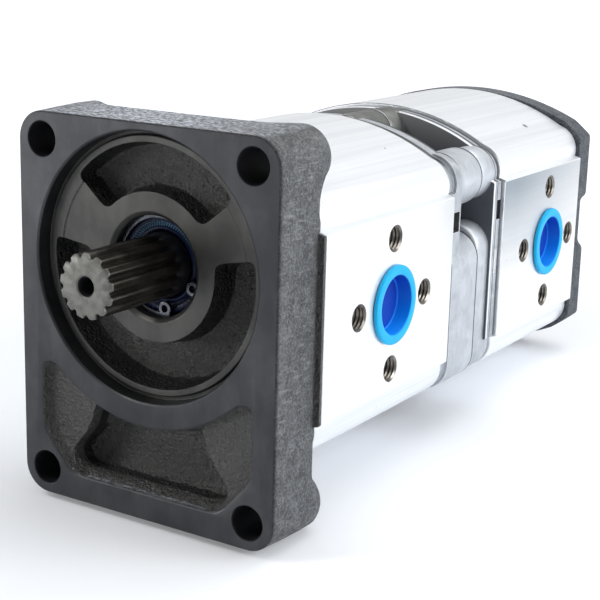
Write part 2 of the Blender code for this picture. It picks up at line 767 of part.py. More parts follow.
def port_holes(shop, y, side, diameter, bolt_circle, bolt_diameter):
    """A port bore into the gear chamber and its four blind bolt holes, with their chamfers."""
    face = BODY_WIDTH / 2
    rotation = (0, side * pi / 2, 0)
    at = (side * face, y, BODY_CENTRE_Z)
    deep = face - CHAMBER_RADIUS / 2
    bore = [(0, 0.001), (diameter / 2, 0.001), (diameter / 2, -deep), (0, -deep)]
    tools = [shop.turned("port_cutter", bore, COARSE, at, rotation, cutter=True)]
    radius = bolt_diameter / 2
    wide = radius + BOLT_HOLE_CHAMFER
    hole = [
        (0, 0.001),
        (wide, 0.001),
        (wide, 0),
        (radius, -BOLT_HOLE_CHAMFER),
        (radius, -BOLT_HOLE_DEPTH),
        (0, -BOLT_HOLE_DEPTH - radius / 2),
    ]
    for quarter in range(4):
        angle = quarter * pi / 2
        across = bolt_circle / 2 * cos(angle)
        up = bolt_circle / 2 * sin(angle)
        place = (at[0], y + across, BODY_CENTRE_Z + up)
        tools.append(shop.turned("port_bolt_cutter", hole, SMALL, place, rotation, cutter=True))
    return tools


def dowel_holes(shop, *faces):
    depth = DOWEL_LENGTH / 2 + CLEARANCE
    return [
        shop.rod("dowel_hole", DOWEL_DIAMETER / 2 + CLEARANCE, face - depth, face + depth, place, SMALL, True)
        for face in sorted(set(faces))
        for place in DOWEL_PLACES
    ]


def seal_groove(shop, face, into):
    """A racetrack groove in a body's end face, round its gear chamber."""
    inner = CHAMBER_RADIUS + SECTION_SEAL_WALL - CLEARANCE
    outer = inner + SECTION_SEAL_WIDTH + 2 * CLEARANCE
    depth = SECTION_SEAL_DEPTH * into
    start, end = sorted((face - 0.001 * into, face + depth))
    rails = [stadium(outer, 6), stadium(inner, 6)]
    return shop.extruded("seal_groove", rails, start, end, cutter=True)


def make_body(shop, name, start, end, port_y, aluminium):
    holes = [circle(place, TIE_BOLT_DIAMETER / 2 + CLEARANCE, SMALL) for place in TIE_PLACES]
    section = [body_outline(), figure_eight(CHAMBER_RADIUS, 15)] + holes
    body = shop.extruded(name, section, start, end)
    cut(body, *port_holes(shop, port_y, 1, INLET_DIAMETER, INLET_BOLT_CIRCLE, INLET_BOLT_DIAMETER))
    cut(body, *port_holes(shop, port_y, -1, OUTLET_DIAMETER, OUTLET_BOLT_CIRCLE, OUTLET_BOLT_DIAMETER))
    cut(body, seal_groove(shop, start, 1), seal_groove(shop, end, -1))
    cut(body, *dowel_holes(shop, start, end))
    paint(aluminium, body)
    return body


def make_section_seal(shop, name, face, into, rubber):
    """A racetrack seal that fills its groove up to the joint face."""
    inner = CHAMBER_RADIUS + SECTION_SEAL_WALL
    outer = inner + SECTION_SEAL_WIDTH
    start, end = sorted((face, face + into * (SECTION_SEAL_DEPTH - CLEARANCE)))
    seal = shop.extruded(name, [stadium(outer, 6), stadium(inner, 6)], start, end)
    paint(rubber, seal)
    return seal


# Adapter between the two bodies


def column_outline(place, reach_up, radius):
    """A lobe about a tie bolt, run up or down to another round end."""
    x, z = place
    if abs(reach_up) < 1e-6:
        return circle(place, radius, MEDIUM)
    low, high = sorted((z, z + reach_up))
    return arc((x, high), radius, 0, pi, 10) + arc((x, low), radius, pi, 2 * pi, 10)


def make_adapter_half(shop, name, start, end, rim_at_front, step, aluminium):
    rim = ADAPTER_FRONT_RIM if rim_at_front else ADAPTER_REAR_RIM
    lobe = ADAPTER_FRONT_LOBE if rim_at_front else ADAPTER_REAR_LOBE
    rim_start = start if rim_at_front else end - rim
    span = (start + rim / 2, end) if rim_at_front else (start, end - rim / 2)
    plate = body_outline(ADAPTER_INSET, ADAPTER_SIDE_INSET - ADAPTER_INSET)
    half = shop.extruded(name, [plate], rim_start, rim_start + rim)
    lower_top = BODY_CENTRE_Z + ADAPTER_COLUMN_TOP + step
    columns = []
    for x, z in TIE_PLACES:
        upper = z > BODY_CENTRE_Z
        rise = 0.0 if upper else lower_top - z
        columns.append(column_outline((x, z), rise, lobe))
    columns.append(circle((0, 0), ADAPTER_HUB_DIAMETER / 2, FINE))
    vent_z = BODY_CENTRE_Z + BODY_HEIGHT / 2 - VENT_BOSS_DROP
    columns.append(circle((VENT_BOSS_X, vent_z), VENT_BOSS_DIAMETER / 2, MEDIUM))
    for number, column in enumerate(columns):
        join(half, shop.extruded(f"{name}_column_{number}", [column], *span, cutter=True))
    sleeve_room = SLEEVE_DIAMETER / 2 + 2 * CLEARANCE
    seal_side = start if rim_at_front else end
    wall = 0.004 if rim_at_front else -0.004
    room = sorted((seal_side + wall, end + 0.001 if rim_at_front else start - 0.001))
    cut(half, shop.rod("sleeve_room", sleeve_room, room[0], room[1], (0, 0), COARSE, True))
    shaft_room = JOURNAL_RADIUS + 2 * CLEARANCE
    cut(half, shop.rod("shaft_room", shaft_room, start - 0.001, end + 0.001, (0, 0), COARSE, True))
    for place in TIE_PLACES:
        hole = TIE_BOLT_DIAMETER / 2 + CLEARANCE
        cut(half, shop.rod("tie_hole", hole, start - 0.001, end + 0.001, place, SMALL, True))
    outside = BODY_WIDTH / 2
    notch_z = BODY_CENTRE_Z + NOTCH_RISE
    if rim_at_front:
        notch = (start - 0.001, start + NOTCH_FRONT_WIDTH)
    else:
        notch = (end - NOTCH_REAR_WIDTH, end + 0.001)
    for side in (1, -1):
        near = side * (outside - ADAPTER_SIDE_INSET - NOTCH_DEPTH)
        far = side * (outside + 0.001)
        low = (min(near, far), notch[0], notch_z - NOTCH_HEIGHT / 2)
        high = (max(near, far), notch[1], notch_z + NOTCH_HEIGHT / 2)
        cut(half, shop.block("notch_cutter", low, high))
    vent = (VENT_BOSS_X, vent_z)
    if rim_at_front:
        depth = (end - VENT_HOLE_DEPTH, end + 0.001)
    else:
        depth = (start - 0.001, start + VENT_HOLE_DEPTH)
    cut(half, shop.rod("vent_hole", VENT_HOLE_DIAMETER / 2, *depth, vent, COARSE, True))
    cut(half, *dowel_holes(shop, seal_side))
    paint(aluminium, half)
    return half


# Rear cover


def rear_cover_outline():
    """The bodies' crown above and below, square corner blocks and a shallow notch in each side."""
    block_x = CORNER_BLOCK_WIDTH / 2
    block_z = CORNER_BLOCK_HEIGHT / 2
    cut_top = (block_x - CORNER_CUT_X, block_z + CORNER_CUT_Z)
    top = BODY_HEIGHT / 2
    drop = top - cut_top[1]
    radius = (cut_top[0] ** 2 + drop**2) / (2 * drop)
    sweep = asin(cut_top[0] / radius)
    crown = arc((0, top - radius), radius, pi / 2, pi / 2 - sweep, 9)
    inner_x = block_x - SIDE_NOTCH_DEPTH
    notch_top = SIDE_NOTCH_RISE + SIDE_NOTCH_HEIGHT / 2
    notch_foot = SIDE_NOTCH_RISE - SIDE_NOTCH_HEIGHT / 2
    side = [
        (block_x, block_z),
        (block_x, notch_top + SIDE_NOTCH_DEPTH / 2),
        (inner_x, notch_top - SIDE_NOTCH_DEPTH / 2),
        (inner_x, notch_foot + SIDE_NOTCH_DEPTH / 2),
        (block_x, notch_foot - SIDE_NOTCH_DEPTH / 2),
        (block_x, -block_z),
    ]
    lower = [(x, -z) for x, z in reversed(crown)]
    right = crown + side + lower
    left = [(-x, z) for x, z in reversed(right[1:-1])]
    return [(x, z + BODY_CENTRE_Z) for x, z in right + left]


def make_rear_cover(shop, iron):
    cover = shop.extruded("rear_cover", [rear_cover_outline()], REAR_COVER_START, REAR_COVER_END)
    half_w, half_h = BACK_PAD_WIDTH / 2, BACK_PAD_HEIGHT / 2
    radius = min(half_w, half_h)
    straight = half_h - radius
    pad = arc((0, straight), radius, 0, pi, 12) + arc((0, -straight), radius, pi, 2 * pi, 12)
    pad = [(x, z + BODY_CENTRE_Z) for x, z in pad]
    far = REAR_COVER_END + BACK_PAD_RISE
    boss = shop.extruded("back_pad", [pad], REAR_COVER_END - HEAD_POCKET_DEPTH / 2, far, cutter=True)
    edge = boss.modifiers.new("Edge", "BEVEL")
    edge.width = min(BACK_PAD_CORNER, BACK_PAD_RISE * 0.6)
    edge.segments = 2
    edge.limit_method = "ANGLE"
    edge.angle_limit = radians(50)
    join(cover, boss)
    for place in TIE_PLACES:
        cut(cover, shop.rod("head_pocket", HEAD_POCKET_DIAMETER / 2, HEAD_SEAT_Y, REAR_COVER_END + 0.001,
                            place, MEDIUM, True))
        cut(cover, shop.rod("tie_hole", TIE_BOLT_DIAMETER / 2 + CLEARANCE, REAR_COVER_START - 0.001,
                            REAR_COVER_END, place, SMALL, True))
    cut(cover, *dowel_holes(shop, REAR_COVER_START))
    paint(iron, cover)
    return cover


# Gears, shafts and coupling


def gear_solid(shop, name, axis_z, middle, width, tooth_at):
    start, end = middle - width / 2, middle + width / 2
    return shop.extruded(name, [gear_outline(tooth_at)], start, end, (0, axis_z), cutter=True)


def shaft_core(shop, name, axis_z, profile):
    return shop.turned(name, profile, MEDIUM, (0, 0, axis_z))


def make_front_drive_gear(shop, steel):
    """The splined input shaft, its seal land, the gear and the stub that enters the coupling."""
    journal_end = ADAPTER_START + 0.004
    stub_end = journal_end + COUPLING_STUB_LENGTH
    land = SEAL_LAND_DIAMETER / 2
    root = SPLINE_ROOT_DIAMETER / 2
    stub_root = COUPLING_STUB_ROOT / 2
    land_end = FRONT_COVER_LENGTH
    profile = [
        (0, stub_end),
        (stub_root - SHAFT_END_CHAMFER, stub_end),
        (stub_root, stub_end - SHAFT_END_CHAMFER),
        (stub_root, journal_end),
        (JOURNAL_RADIUS, journal_end),
        (JOURNAL_RADIUS, land_end),
        (land, land_end - SHAFT_END_CHAMFER),
        (land, SPLINE_RUN_OUT + (land - root)),
        (root, SPLINE_RUN_OUT),
        (root, -SHAFT_REACH + SHAFT_END_CHAMFER),
        (root - SHAFT_END_CHAMFER / 2, -SHAFT_REACH),
        (0, -SHAFT_REACH),
    ]
    shaft = shaft_core(shop, "drive_gear_front", 0, profile)
    teeth = spline_outline(SPLINE_TEETH, SPLINE_DIAMETER / 2, root)
    spline = shop.extruded("input_spline", [teeth], -SHAFT_REACH, SPLINE_RUN_OUT + 0.0005, cutter=True)
    envelope = [
        (0, SPLINE_RUN_OUT + 0.001),
        (SPLINE_DIAMETER / 2 + 0.001, SPLINE_RUN_OUT + 0.001),
        (SPLINE_DIAMETER / 2 + 0.001, -SHAFT_REACH + SHAFT_END_CHAMFER + 0.001),
        (SPLINE_DIAMETER / 2 - SHAFT_END_CHAMFER, -SHAFT_REACH),
        (0, -SHAFT_REACH),
    ]
    combine(spline, shop.turned("spline_envelope", envelope, MEDIUM, cutter=True), "INTERSECT")
    stub = coupling_stub(shop, "front_stub", journal_end - 0.0005, stub_end - SHAFT_END_CHAMFER)
    gear = gear_solid(shop, "front_drive_teeth", 0, FRONT_PORT_Y, FRONT_GEAR_WIDTH, -pi / 2)
    join(shaft, spline, stub, gear)
    cut(shaft, centre_hole(shop))
    paint(steel, shaft)
    return shaft


def centre_hole(shop):
    radius = CENTRE_HOLE_DIAMETER / 2
    deep = -SHAFT_REACH + CENTRE_HOLE_DEPTH
    profile = [
        (0, deep + radius / 2),
        (radius, deep),
        (radius, -SHAFT_REACH + radius / 3),
        (radius * 4 / 3, -SHAFT_REACH),
        (radius * 4 / 3, -SHAFT_REACH - 0.001),
        (0, -SHAFT_REACH - 0.001),
    ]
    return shop.turned("centre_hole", profile, COARSE, cutter=True)


def coupling_stub(shop, name, start, end):
    outline = spline_outline(COUPLING_TEETH, COUPLING_STUB_DIAMETER / 2, COUPLING_STUB_ROOT / 2)
    return shop.extruded(name, [outline], start, end, cutter=True)


def make_rear_drive_gear(shop, steel):
    journal_start = ADAPTER_END - 0.004
    stub_start = journal_start - COUPLING_STUB_LENGTH
    stub_root = COUPLING_STUB_ROOT / 2
    far = REAR_BODY_END - CLEARANCE
    profile = [
        (0, far),
        (JOURNAL_RADIUS - SHAFT_END_CHAMFER, far),
        (JOURNAL_RADIUS, far - SHAFT_END_CHAMFER),
        (JOURNAL_RADIUS, journal_start),
        (stub_root, journal_start),
        (stub_root, stub_start + SHAFT_END_CHAMFER),
        (stub_root - SHAFT_END_CHAMFER, stub_start),
        (0, stub_start),
    ]
    shaft = shaft_core(shop, "drive_gear_rear", 0, profile)
    stub = coupling_stub(shop, "rear_stub", stub_start + SHAFT_END_CHAMFER, journal_start + 0.0005)
    gear = gear_solid(shop, "rear_drive_teeth", 0, REAR_PORT_Y, REAR_GEAR_WIDTH, -pi / 2)
    join(shaft, stub, gear)
    paint(steel, shaft)
    return shaft


def make_driven_gear(shop, name, start, end, middle, width, steel):
    """A gear in one piece with its two journals, its tooth space facing the drive gear."""
    near, far = start + CLEARANCE, end - CLEARANCE
    profile = [
        (0, far),
        (JOURNAL_RADIUS - SHAFT_END_CHAMFER, far),
        (JOURNAL_RADIUS, far - SHAFT_END_CHAMFER),
        (JOURNAL_RADIUS, near + SHAFT_END_CHAMFER),
        (JOURNAL_RADIUS - SHAFT_END_CHAMFER, near),
        (0, near),
    ]
    shaft = shaft_core(shop, name, -GEAR_CENTRES, profile)
    space_up = pi / 2 + pi / GEAR_TEETH
    join(shaft, gear_solid(shop, name + "_teeth", -GEAR_CENTRES, middle, width, space_up))
    paint(steel, shaft)
    return shaft


def make_coupling(shop, steel):
    middle = (ADAPTER_START + ADAPTER_END) / 2
    start, end = middle - SLEEVE_LENGTH / 2, middle + SLEEVE_LENGTH / 2
    bore = spline_outline(COUPLING_TEETH, COUPLING_STUB_DIAMETER / 2, COUPLING_STUB_ROOT / 2, CLEARANCE)
    outline = circle((0, 0), SLEEVE_DIAMETER / 2, MEDIUM)
    sleeve = shop.extruded("coupling_sleeve", [outline, bore], start, end)
    paint(steel, sleeve)
    return sleeve


# Bearing blocks


def make_bearing_block(shop, name, start, end, gear_side, aluminium):
    """A block that fills the chamber between a gear's face and the cover or adapter."""
    bores = [circle((0, z), BUSH_OUTER + CLEARANCE, COARSE) for z in (0, -GEAR_CENTRES)]
    block = shop.extruded(name, [figure_eight(BLOCK_RADIUS, 15)] + bores, start, end)
    face = end if gear_side > 0 else start
    back = start if gear_side > 0 else end
    waist = sqrt(BLOCK_RADIUS**2 - (GEAR_CENTRES / 2) ** 2)
    for side in (1, -1):
        near, far = sorted((side * (waist + 0.002), side * (waist - BLOCK_RELIEF_WIDTH / 2)))
        low_y, high_y = sorted((face + gear_side * 0.001, face - gear_side * BLOCK_RELIEF_DEPTH))
        low = (near, low_y, BODY_CENTRE_Z - BLOCK_RELIEF_HEIGHT / 2)
        high = (far, high_y, BODY_CENTRE_Z + BLOCK_RELIEF_HEIGHT / 2)
        cut(block, shop.block("relief_cutter", low, high))
    outer = BLOCK_RADIUS - BLOCK_EDGE
    inner = outer - BLOCK_SEAL_WIDTH - 2 * CLEARANCE
    low_y, high_y = sorted((back - gear_side * 0.001, back + gear_side * BLOCK_SEAL_DEPTH))
    groove = shop.extruded("block_groove", [three_shape(outer, inner, 6)], low_y, high_y, cutter=True)
    cut(block, groove)
    paint(aluminium, block)
    return block


def make_block_seal(shop, name, back, gear_side, rubber):
    """The 3-shaped seal in the back of a bearing block."""
    outer = BLOCK_RADIUS - BLOCK_EDGE - CLEARANCE
    outline = three_shape(outer, outer - BLOCK_SEAL_WIDTH, 6)
    outline = [(x + CLEARANCE if x < CLEARANCE else x, z) for x, z in outline]
    start, end = sorted((back, back + gear_side * (BLOCK_SEAL_DEPTH - CLEARANCE)))
    seal = shop.extruded(name, [outline], start, end)
    paint(rubber, seal)
    return seal


def make_bearings(shop, section, start, end, middle, width, metals, rubber):
    """The pair of blocks of one section, their four bushes and their two seals."""
    aluminium, bronze = metals
    gear_front = middle - width / 2 - CLEARANCE
    gear_back = middle + width / 2 + CLEARANCE
    spans = {"fore": (start, gear_front, 1), "aft": (gear_back, end, -1)}
    for place, (low, high, gear_side) in spans.items():
        make_bearing_block(shop, f"bearing_block_{section}_{place}", low, high, gear_side, aluminium)
        back = low if gear_side > 0 else high
        make_block_seal(shop, f"block_seal_{section}_{place}", back, gear_side, rubber)
        for role, z in (("drive", 0), ("driven", -GEAR_CENTRES)):
            name = f"bush_{section}_{place}_{role}"
            edge = 2 * CLEARANCE
            bush = shop.tube(name, BUSH_OUTER, BUSH_INNER, low + edge, high - edge, (0, z), COARSE)
            paint(bronze, bush)


# Fasteners, dowels and plugs


def make_tie_bolts(shop, steel):
    start = FRONT_COVER_LENGTH - TIE_BOLT_GRIP
    radius = TIE_BOLT_DIAMETER / 2
    across = TIE_HEAD_FLATS / 2 / cos(pi / 6)
    for number, place in enumerate(TIE_PLACES, 1):
        shank = [
            (0, HEAD_START + TIE_HEAD_HEIGHT / 2),
            (radius, HEAD_START + TIE_HEAD_HEIGHT / 2),
            (radius, start + SHAFT_END_CHAMFER),
            (radius - SHAFT_END_CHAMFER, start),
            (0, start),
        ]
        bolt = shop.turned(f"tie_bolt_{number}", shank, SMALL, (place[0], 0, place[1]))
        hexagon = circle((0, 0), across, 6)
        head = shop.extruded("tie_head", [hexagon], HEAD_START, HEAD_END, place, cutter=True)
        crown = [
            (0, HEAD_END),
            (TIE_HEAD_FLATS / 2 * 0.97, HEAD_END),
            (across * 1.1, HEAD_END - across * 0.22),
            (across * 1.1, HEAD_START - 0.001),
            (0, HEAD_START - 0.001),
        ]
        trim = shop.turned("head_crown", crown, COARSE, (place[0], 0, place[1]), cutter=True)
        combine(head, trim, "INTERSECT")
        join(bolt, head)
        washer = shop.tube(
            f"washer_{number}", WASHER_DIAMETER / 2, radius + CLEARANCE, WASHER_START,
            WASHER_START + WASHER_THICKNESS, place,
        )
        paint(steel, bolt, washer)


def make_dowels(shop, steel):
    joints = {
        "front_cover": (FRONT_COVER_LENGTH + FRONT_BODY_START) / 2,
        "adapter_front": (FRONT_BODY_END + ADAPTER_START) / 2,
        "adapter_rear": (ADAPTER_END + REAR_BODY_START) / 2,
        "rear_cover": (REAR_BODY_END + REAR_COVER_START) / 2,
    }
    for joint, y in joints.items():
        for side, place in zip(("right", "left"), DOWEL_PLACES):
            start, end = y - DOWEL_LENGTH / 2, y + DOWEL_LENGTH / 2
            pin = shop.rod(f"dowel_{joint}_{side}", DOWEL_DIAMETER / 2, start, end, place, SMALL)
            paint(steel, pin)


def make_plug(shop, name, y, side, diameter, plastic):
    """A transport plug: a rim on the port's face and a shallow cup in its bore."""
    outer = diameter / 2 - CLEARANCE
    inner = outer - PLUG_WALL
    rim = diameter / 2 + PLUG_RIM_OVERHANG
    seat = CLEARANCE
    top = seat + PLUG_RIM_THICKNESS
    soft = PLUG_RIM_THICKNESS / 3
    floor = top - PLUG_CUP_DEPTH
    profile = [
        (0, floor),
        (inner - PLUG_WALL / 2, floor),
        (inner, top - soft),
        (inner + soft, top),
        (rim - soft, top),
        (rim, top - soft),
        (rim, seat),
        (outer, seat),
        (outer - PLUG_WALL / 2, -PLUG_LENGTH),
        (inner - PLUG_WALL / 2, -PLUG_LENGTH),
        (inner, floor - PLUG_WALL),
        (0, floor - PLUG_WALL),
    ]
    at = (side * BODY_WIDTH / 2, y, BODY_CENTRE_Z)
    plug = shop.turned(name, profile, MEDIUM, at, (0, side * pi / 2, 0))
    paint(plastic, plug)
    return plug


def main():
    clear_scene()
    shop = Shop()
    iron = finish("cast_iron_black", (0.045, 0.043, 0.040), 0.55, 0.7)
    rear_iron = finish("cast_iron_grey", (0.055, 0.053, 0.052), 0.6, 0.6)
    extrusion = finish("extruded_aluminium", (0.80, 0.81, 0.83), 0.38, 1.0)
    casting = finish("cast_aluminium", (0.52, 0.54, 0.57), 0.48, 1.0)
    gear_steel = finish("ground_steel", (0.30, 0.28, 0.25), 0.35, 1.0)
    sleeve_steel = finish("sleeve_steel", (0.26, 0.25, 0.24), 0.45, 1.0)
    block_metal = finish("block_aluminium", (0.66, 0.67, 0.69), 0.4, 1.0)
    bronze = finish("bush_bronze", (0.55, 0.38, 0.18), 0.4, 1.0)
    seal_rubber = finish("seal_rubber_blue", (0.010, 0.025, 0.085), 0.45, 0.0)
    ring_rubber = finish("ring_rubber_black", (0.015, 0.015, 0.016), 0.6, 0.0)
    clip_steel = finish("spring_steel", (0.62, 0.63, 0.64), 0.3, 1.0)
    bolt_steel = finish("bolt_steel", (0.12, 0.12, 0.12), 0.45, 0.9)
    plastic = finish("plug_blue", (0.0, 0.30, 0.85), 0.4, 0.0)

    make_front_cover(shop, iron)
    make_shaft_seal(shop, seal_rubber)
    make_circlip(shop, clip_steel)
    make_body(shop, "front_body", FRONT_BODY_START, FRONT_BODY_END, FRONT_PORT_Y, extrusion)
    make_body(shop, "rear_body", REAR_BODY_START, REAR_BODY_END, REAR_PORT_Y, extrusion)
    make_adapter_half(shop, "adapter_front", ADAPTER_START, PARTING, True, 0.0, casting)
    make_adapter_half(
        shop, "adapter_rear", ADAPTER_REAR_START, ADAPTER_END, False, ADAPTER_COLUMN_STEP, casting
    )
    make_rear_cover(shop, rear_iron)
    make_front_drive_gear(shop, gear_steel)
    make_rear_drive_gear(shop, gear_steel)
    make_coupling(shop, sleeve_steel)
    sections = {
        "front": (FRONT_BODY_START, FRONT_BODY_END, FRONT_PORT_Y, FRONT_GEAR_WIDTH),
        "rear": (REAR_BODY_START, REAR_BODY_END, REAR_PORT_Y, REAR_GEAR_WIDTH),
    }
    for section, (start, end, middle, width) in sections.items():
        make_driven_gear(shop, f"driven_gear_{section}", start, end, middle, width, gear_steel)
        make_bearings(shop, section, start, end, middle, width, (block_metal, bronze), ring_rubber)
        make_section_seal(shop, f"section_seal_{section}_fore", start, 1, ring_rubber)
        make_section_seal(shop, f"section_seal_{section}_aft", end, -1, ring_rubber)
        make_plug(shop, f"inlet_plug_{section}", middle, 1, INLET_DIAMETER, plastic)
        make_plug(shop, f"outlet_plug_{section}", middle, -1, OUTLET_DIAMETER, plastic)
    make_tie_bolts(shop, bolt_steel)
    make_dowels(shop, clip_steel)


main()
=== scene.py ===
from math import acos, asin, atan2, cos, exp, hypot, pi, radians, sin, tan

import bmesh
import bpy
from mathutils import Matrix, Vector


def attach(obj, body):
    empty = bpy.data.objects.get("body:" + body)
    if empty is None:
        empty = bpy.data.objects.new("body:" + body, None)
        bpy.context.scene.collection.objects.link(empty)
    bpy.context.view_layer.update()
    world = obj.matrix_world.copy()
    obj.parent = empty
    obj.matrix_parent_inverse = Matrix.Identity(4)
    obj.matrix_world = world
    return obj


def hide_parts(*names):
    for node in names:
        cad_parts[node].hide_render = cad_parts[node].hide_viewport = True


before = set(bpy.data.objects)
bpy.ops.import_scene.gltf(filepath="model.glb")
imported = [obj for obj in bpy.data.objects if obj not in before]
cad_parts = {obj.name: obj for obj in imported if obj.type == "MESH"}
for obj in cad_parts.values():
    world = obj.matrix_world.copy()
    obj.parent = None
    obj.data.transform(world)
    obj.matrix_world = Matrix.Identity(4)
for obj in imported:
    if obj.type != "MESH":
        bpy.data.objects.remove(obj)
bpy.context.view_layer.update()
origin = Vector((0, -95.65, 75.7))  # carries those millimetres into the model's own frame
frontFace, shaftHeight = origin.y * 0.001, origin.z * 0.001  # in the model's metres
print("frame loaded:", len(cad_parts), "solids")

# places along the shaft
along = {
    "coverEnd": 19.0,
    "frontBody": (19.3, 96.6),
    "frontHalf": (96.9, 119.7),
    "rearHalf": (120.0, 134.0),
    "rearBody": (134.3, 201.2),
    "rearCover": (201.5, 212.3),
    "frontPort": 58.35,
    "rearPort": 173.35,
}
middleZ = -14.0  # the extrusions are centred between the two gear axes

# holes that several pieces share
holes = {
    "tieX": 37.1,
    "tieZ": 29.7,
    "tie": 4.3,
    "flangeX": 36.7,
    "flangeZ": (33.3, -66.7),
    "flange": 5.0,
    "dowelX": 34.0,
    "dowel": 2.8,
    "gearCentres": 28.0,
    "gearRoom": 16.63,
}
tiePlaces = [(side * holes["tieX"], middleZ + half * holes["tieZ"]) for side in (1, -1) for half in (1, -1)]
flangeHoles = [(side * holes["flangeX"], z) for side in (1, -1) for z in holes["flangeZ"]]
dowelPlaces = [(side * holes["dowelX"], middleZ) for side in (1, -1)]


# outlines, as points (x, z) seen along the shaft

def polar(radius, angle, centre=(0, 0)):
    return (centre[0] + radius * cos(angle), centre[1] + radius * sin(angle))


def arc(centre, radius, start, end, steps):
    return [polar(radius, start + (end - start) / steps * i, centre) for i in range(steps + 1)]


def circle(centre, radius, steps, start=0.03):
    return arc(centre, radius, start, start + 2 * pi, steps)[:-1]


def softCorner(before, corner, after, steps):
    points = []
    for i in range(steps + 1):
        t = i / steps
        weights = ((1 - t) ** 2, 2 * t * (1 - t), t ** 2)
        ends = (before, corner, after)
        points.append(tuple(sum(w * p[k] for w, p in zip(weights, ends)) for k in (0, 1)))
    return points


def roundCorners(path, reach, share, steps):
    # each inner point of the path becomes a soft corner, which starts reach away or that share of the side
    points = []
    for before, corner, after in zip(path, path[1:], path[2:]):
        ends = []
        for other in (before, after):
            length = hypot(other[0] - corner[0], other[1] - corner[1])
            part = min(reach, length * share) / length
            ends.append(tuple(corner[k] + part * (other[k] - corner[k]) for k in (0, 1)))
        points += softCorner(ends[0], corner, ends[1], steps)
    return points


def crownArc(top, end, steps):
    # from the middle of the top down to the given end
    drop = top - end[1]
    radius = (end[0] ** 2 + drop ** 2) / (2 * drop)
    return arc((0, top - radius), radius, pi / 2, pi / 2 - asin(end[0] / radius), steps)


def grown(outline, amount):
    # the outline moved outwards, or inwards by a negative amount
    count = len(outline)
    area = sum(
        outline[i - 1][0] * outline[i][1] - outline[i][0] * outline[i - 1][1] for i in range(count)
    )
    turn = 1 if area > 0 else -1
    moved = []
    for i, (x, z) in enumerate(outline):
        normals = []
        for a, b in ((outline[i - 1], (x, z)), ((x, z), outline[(i + 1) % count])):
            dx, dz = b[0] - a[0], b[1] - a[1]
            length = hypot(dx, dz) or 1.0
            normals.append((turn * dz / length, -turn * dx / length))
        (ax, az), (bx, bz) = normals
        reach = amount / max(0.35, 1 + ax * bx + az * bz)
        moved.append((x + (ax + bx) * reach, z + (az + bz) * reach))
    return moved


def thinned(outline, least=0.02):
    # without points that lie closer together than the least distance
    kept = []
    for point in outline:
        if not kept or hypot(point[0] - kept[-1][0], point[1] - kept[-1][1]) > least:
            kept.append(point)
    if hypot(kept[0][0] - kept[-1][0], kept[0][1] - kept[-1][1]) < least:
        kept.pop()
    return kept


def fourfold(quarter, side=()):
    # a quarter from the crown's middle down to the side, and what lies on the side, mirrored into the whole
    right = quarter + list(side) + [(x, -z) for x, z in reversed(quarter)]
    whole = right + [(-x, z) for x, z in reversed(right)]
    return thinned([(x, z + middleZ) for x, z in whole])


extrusion = {
    "width": 96.4,
    "height": 98.0,
    "padHeight": 54.3,
    "lobeRadius": 9.0,
    "lobeStart": radians(76),
    "lobeEnd": radians(-12),
    "crownSteps": 26,
    "lobeSteps": 16,
}
bodySide = extrusion["width"] / 2


def bodyOutline(inset=0.0, sideInset=0.0):
    # a crown, a round lobe about each tie bolt, a soft dip between them and flat port pads
    e = extrusion
    tie = (holes["tieX"], holes["tieZ"])
    lobe = arc(tie, e["lobeRadius"] - inset, e["lobeStart"], e["lobeEnd"], e["lobeSteps"])
    crown = crownArc(e["height"] / 2 - inset, lobe[0], e["crownSteps"])
    dip = softCorner(crown[-2], crown[-1], lobe[1], 4)
    side = bodySide - inset - sideInset
    flareX, flareZ = lobe[-1]
    top = min(e["padHeight"] / 2, flareZ - 0.5)
    if side > flareX + 0.4:
        pad = softCorner((flareX + (side - flareX) * 0.8, top + 0.12), (side, top), (side, top - 0.35), 3)
    else:
        pad = [(max(side, flareX), top)]
    return fourfold(crown[:-2] + dip + lobe[2:] + pad)


def figureEight(radius, steps):
    # a gear chamber: two round rooms that run into each other
    centres = holes["gearCentres"]
    waist = acos(centres / 2 / radius)
    upper = arc((0, 0), radius, waist - pi / 2, 3 * pi / 2 - waist, steps)
    lower = arc((0, -centres), radius, waist + pi / 2, 5 * pi / 2 - waist, steps)
    return upper[:-1] + lower[:-1]


def ringSector(inner, outer, start, end, innerCorner, outerCorner, steps=60):
    # part of a ring with its four corners rounded
    points = []
    for radius, first, last, inward in ((outer, start, end, -outerCorner), (inner, end, start, innerCorner)):
        turn = abs(inward) / radius * (1 if last > first else -1)
        nearEnd, farEnd = polar(radius, first), polar(radius, last)
        points += softCorner(polar(radius + inward, first), nearEnd, polar(radius, first + turn), 6)
        points += arc((0, 0), radius, first + turn, last - turn, steps)[1:-1]
        points += softCorner(polar(radius, last - turn), farEnd, polar(radius + inward, last), 6)
    return points


# solids from outlines

def toMetres(place):
    return (Vector(place) + origin) * 0.001


def addObject(name, data):
    item = bpy.data.objects.new(name, data)
    bpy.context.scene.collection.objects.link(item)
    return item


def addMesh(name, work):
    mesh = bpy.data.meshes.new(name)
    work.to_mesh(mesh)
    work.free()
    return addObject(name, mesh)


def discard(item):
    mesh = item.data
    bpy.data.objects.remove(item)
    bpy.data.meshes.remove(mesh)


def buildPiece(name, points, faces):
    work = bmesh.new()
    corners = [work.verts.new(toMetres(point)) for point in points]
    for face in faces:
        work.faces.new([corners[i] for i in face])
    bmesh.ops.remove_doubles(work, verts=work.verts, dist=2e-7)
    bmesh.ops.recalc_face_normals(work, faces=work.faces)
    return addMesh(name, work)


